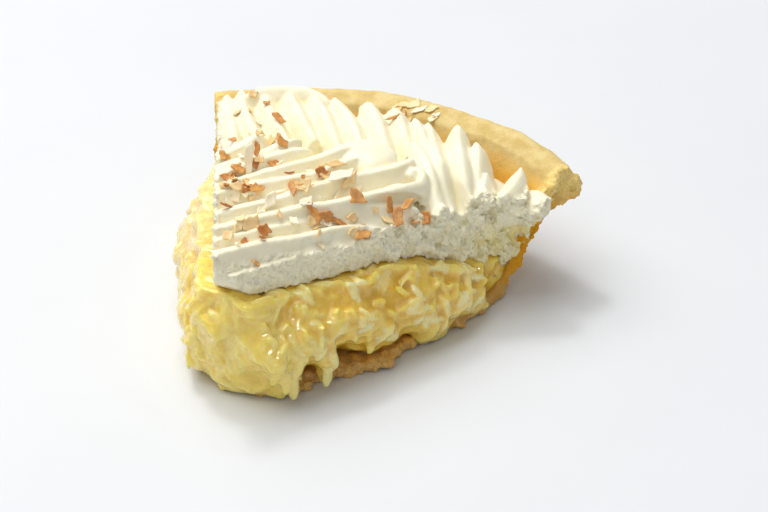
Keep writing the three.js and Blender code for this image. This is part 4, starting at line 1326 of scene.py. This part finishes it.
def cream_material(tree):
    """Satin where it was piped, dull and spongy where it was cut, yellow where custard is smeared over it;
    painted yellow shade darkens its grooves.
    """
    material, mixture, shader = new_material("whipped_cream")
    mottle, fine = grain(mixture, tree, 9, 0.35)
    cut = mixture.attribute("cut")
    piped = mixture.mottled(mottle, colour(253, 246, 222), colour(251, 242, 211))
    torn = mixture.mottled(fine, colour(254, 244, 206), colour(255, 252, 230))
    # painted shade: the grooves are tinted a darker yellow, less so on the cut faces
    painted_groove_shade = mixture.spread(mixture.attribute("swell"), -1.1, -0.25, 0.5, 0)
    painted_groove_shade = mixture.maths("MULTIPLY", painted_groove_shade, mixture.spread(cut, 0, 1, 1, 0.35))
    with_groove_shade = mixture.mix(painted_groove_shade, mixture.mix(cut, piped, torn), colour(255, 232, 160))
    patches = mixture.spread(mixture.noise(4, 3), 0.4, 0.6, 0.1, 0.75)
    smear = mixture.maths("MULTIPLY", mixture.attribute("smear"), patches)
    mixture.feed(shader.inputs["Base Color"], mixture.mix(smear, with_groove_shade, colour(250, 228, 128)))
    mixture.feed(shader.inputs["Roughness"], mixture.spread(cut, 0, 1, 0.42, 0.75))
    bubbles = mixture.node("ShaderNodeTexVoronoi", Vector=mixture.place(), Scale=1 / (0.9 * MM))
    pits = mixture.maths("MULTIPLY", mixture.spread(bubbles.outputs["Distance"], 0, 0.6), cut)
    height = mixture.maths("ADD", mixture.maths("MULTIPLY", fine, 0.4), pits)
    mixture.feed(shader.inputs["Normal"], bump(mixture, height, 0.8, 0.5))
    soft_inside(mixture, shader, mixture.spread(cut, 0, 1, 0.4, 0.2), (1.0, 0.8, 0.5), 1.2)
    return material


def custard_material(tree):
    """Wet and soft: painted shade makes it deep yellow in its hollows and painted light makes it pale on its
    lumps and towards the left; its shreds are pale.
    """
    material, mixture, shader = new_material("coconut_custard")
    mottle, fine = grain(mixture, tree, 6, 0.7)
    # painted shade and light: the hollows are a deeper, darker yellow and the lumps a paler, lighter one
    swell = mixture.spread(mixture.attribute("swell"), -0.4, 0.4)
    deep = mixture.mottled(mottle, colour(226, 178, 22), colour(235, 192, 44))
    proud = mixture.mottled(mottle, colour(250, 214, 84), colour(253, 225, 112))
    strand = mixture.mottled(fine, colour(251, 236, 160), colour(254, 246, 206), low=0.4, high=0.6)
    shred = mixture.maths("MULTIPLY", mixture.attribute("shred"), mixture.spread(mottle, 0.35, 0.6, 0.45, 1))
    skin = mixture.mix(shred, mixture.mix(swell, deep, proud), strand)
    # painted light: the left side, which faces the window, is paler
    painted_left_light = mixture.spread(mixture.coordinate("X"), -34 * MM, -14 * MM, 0.45, 0)
    with_left_light = mixture.mix(painted_left_light, skin, colour(252, 236, 196))
    # brighter yellow towards the tip
    towards_tip = mixture.spread(mixture.coordinate("Y"), -54 * MM, -30 * MM, 0.7, 0)
    mixture.feed(shader.inputs["Base Color"], mixture.mix(towards_tip, with_left_light, colour(255, 224, 106)))
    mixture.feed(shader.inputs["Roughness"], mixture.spread(fine, 0.35, 0.65, 0.12, 0.3))
    curds = mixture.noise(1.7, 2, 0.5)
    height = mixture.maths("ADD", mixture.maths("MULTIPLY", fine, 0.4), curds)
    mixture.feed(shader.inputs["Normal"], bump(mixture, height, 0.7, 0.8))
    shader.inputs["Coat Weight"].default_value = 0.9
    shader.inputs["Coat Roughness"].default_value = 0.05
    soft_inside(mixture, shader, 0.75, (1.0, 0.75, 0.3), 2.6)
    return material


def crust_material(tree):
    """Dry pastry: brown low down, pale on the rim; broken, it is yellow in the wall and pale in the rim."""
    material, mixture, shader = new_material("pie_crust")
    mottle, fine = grain(mixture, tree, 6, 0.55)
    height = mixture.maths("ADD", mixture.coordinate("Z"), mixture.maths("MULTIPLY", mottle, 8 * MM))
    baked = mixture.mix(mixture.spread(height, 10 * MM, 30 * MM), colour(200, 154, 80), colour(228, 178, 76))
    pale = mixture.mottled(mottle, colour(226, 206, 146), colour(210, 184, 118), low=0.38, high=0.62)
    rim = mixture.mix(mixture.spread(height, 34 * MM, 39 * MM), baked, pale)
    speckled = mixture.mix(mixture.spread(fine, 0.5, 0.75, 0, 0.4), rim, colour(200, 150, 72))
    wall = mixture.mottled(fine, colour(232, 172, 24), colour(208, 140, 12))
    end = mixture.mottled(fine, colour(250, 230, 158), colour(232, 196, 110))
    high = mixture.mix(mixture.spread(height, 27 * MM, 33 * MM), wall, end)
    low = mixture.mottled(fine, colour(230, 190, 116), colour(196, 150, 80))
    inside = mixture.mix(mixture.spread(height, 7 * MM, 11 * MM), low, high)
    mixture.feed(shader.inputs["Base Color"], mixture.mix(mixture.attribute("broken"), speckled, inside))
    mixture.feed(shader.inputs["Roughness"], mixture.spread(mottle, 0.3, 0.7, 0.55, 0.75))
    mixture.feed(shader.inputs["Normal"], bump(mixture, fine, 0.6, 0.35))
    shader.inputs["Specular IOR Level"].default_value = 0.15
    soft_inside(mixture, shader, 0.25, (1.0, 0.5, 0.2), 1.2)
    return material


# each kind of flake: its lighter and its more toasted colour
FLAKE_SHADES = {
    "toasted_flake": (colour(234, 174, 96), colour(176, 104, 44)),
    "tan_flake": (colour(248, 224, 172), colour(236, 196, 134)),
    "pale_flake": (colour(252, 243, 220), colour(248, 230, 194)),
}


def flake_material(tree, name, light, dark):
    """Dry coconut, toasted unevenly and each flake by its own share."""
    material, mixture, shader = new_material(name)
    mottle, fine = grain(mixture, tree, 1.6, 0.3)
    toast = mixture.maths("ADD", mixture.maths("MULTIPLY", mixture.attribute("flake"), 0.5), mottle)
    mixture.feed(shader.inputs["Base Color"], mixture.mottled(toast, light, dark, low=0.5, high=1.0))
    mixture.feed(shader.inputs["Roughness"], mixture.spread(fine, 0.3, 0.7, 0.4, 0.65))
    mixture.feed(shader.inputs["Normal"], bump(mixture, fine, 0.5, 0.12))
    soft_inside(mixture, shader, 0.3, (1.0, 0.85, 0.6), 0.5)
    return material


def table_material():
    material, mixture, shader = new_material("pale_table")
    broad = mixture.noise(90, 3)
    shade = mixture.mix(broad, colour(213, 217, 222), colour(220, 224, 229))
    mixture.feed(shader.inputs["Base Color"], shade)
    shader.inputs["Roughness"].default_value = 0.55
    return material


# ---------- the studio ----------

# everything here is in metres in the slice's frame
AIM = (0, 0, 0.02)
DAYLIGHT = (1.0, 0.985, 0.96)
GLINT = (1.0, 0.99, 0.97)
# each light: its place, width, power and tint
LIGHTS = {
    "window": ((-0.75, 0.1, 1.7), 2.0, 32.5, DAYLIGHT),
    "lamp": ((-0.7, 0.5, 1.6), 0.3, 7.5, DAYLIGHT),
    "catch_light": ((0.2, -1.0, 1.0), 0.08, 0.8, GLINT),
    "sheen_light": ((0.45, -0.85, 0.9), 0.3, 7, GLINT),
}
SKY_TINT = (0.99, 0.975, 0.95, 1)
SKY_STRENGTH = 0.4
TABLE_SIZE = 6


def make_table():
    table = fresh("table", bpy.ops.mesh.primitive_plane_add, size=TABLE_SIZE, location=(0, 0, 0))
    table.data.materials.append(table_material())


def make_light(name, place, width, power, tint):
    """A round soft light that faces the slice."""
    lamp = bpy.data.lights.new(name, "AREA")
    lamp.shape = "DISK"
    lamp.size = width
    lamp.energy = power
    lamp.color = tint
    stand = bpy.data.objects.new(name, lamp)
    stand.location = place
    stand.rotation_euler = (Vector(AIM) - Vector(place)).to_track_quat("-Z", "Y").to_euler()
    bpy.context.collection.objects.link(stand)
    return stand


def make_studio():
    make_table()
    stands = {name: make_light(name, *facts) for name, facts in LIGHTS.items()}
    stands["sheen_light"].visible_diffuse = False
    world = bpy.data.worlds.new("room")
    world.use_nodes = True
    sky = world.node_tree.nodes["Background"]
    sky.inputs["Color"].default_value = SKY_TINT
    sky.inputs["Strength"].default_value = SKY_STRENGTH
    bpy.context.scene.world = world
    bpy.context.scene.view_settings.view_transform = "Standard"


# the camera looks down 33 degrees, turned 26.5 degrees from the bisector; distance and target in millimetres
CAMERA_TURN = math.radians(26.5)
CAMERA_DROP = math.radians(33)
CAMERA_DISTANCE = 540.3
CAMERA_TARGET = (5.58, 84.8, 0)
FOCAL_LENGTH = 85
SENSOR_WIDTH = 36


def make_camera():
    lens = bpy.data.cameras.new("camera")
    lens.lens = FOCAL_LENGTH
    lens.sensor_width = SENSOR_WIDTH
    camera = bpy.data.objects.new("camera", lens)
    back = Vector((math.sin(CAMERA_TURN) * math.cos(CAMERA_DROP),
                   -math.cos(CAMERA_TURN) * math.cos(CAMERA_DROP), math.sin(CAMERA_DROP)))
    camera.location = at(*CAMERA_TARGET) + back * CAMERA_DISTANCE * MM
    camera.rotation_euler = (math.pi / 2 - CAMERA_DROP, 0, CAMERA_TURN)
    bpy.context.collection.objects.link(camera)
    bpy.context.scene.camera = camera


# ---------- the slice ----------

def finish_piece(piece, material, slot, *nodes):
    """Dresses a piece, lets it ride on the slice, and hides the solids it stands for."""
    piece.data.materials.clear()
    piece.data.materials.append(material)
    only(piece)
    bpy.ops.object.shade_smooth()
    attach(piece, "root")
    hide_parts(*nodes)


make_camera()
make_studio()
grain_tree = grain_group()
crust = make_crust()
custard = make_custard()
cream = make_cream()
flakes = make_flakes(cream, crust)
finish_piece(crust, crust_material(grain_tree), "crust", "pie_crust")
finish_piece(custard, custard_material(grain_tree), "custard", "coconut_custard")
finish_piece(cream, cream_material(grain_tree), "cream", "whipped_cream")
for piece, (kind, shades) in zip(flakes, FLAKE_SHADES.items()):
    finish_piece(piece, flake_material(grain_tree, kind, *shades), kind, "whipped_cream")
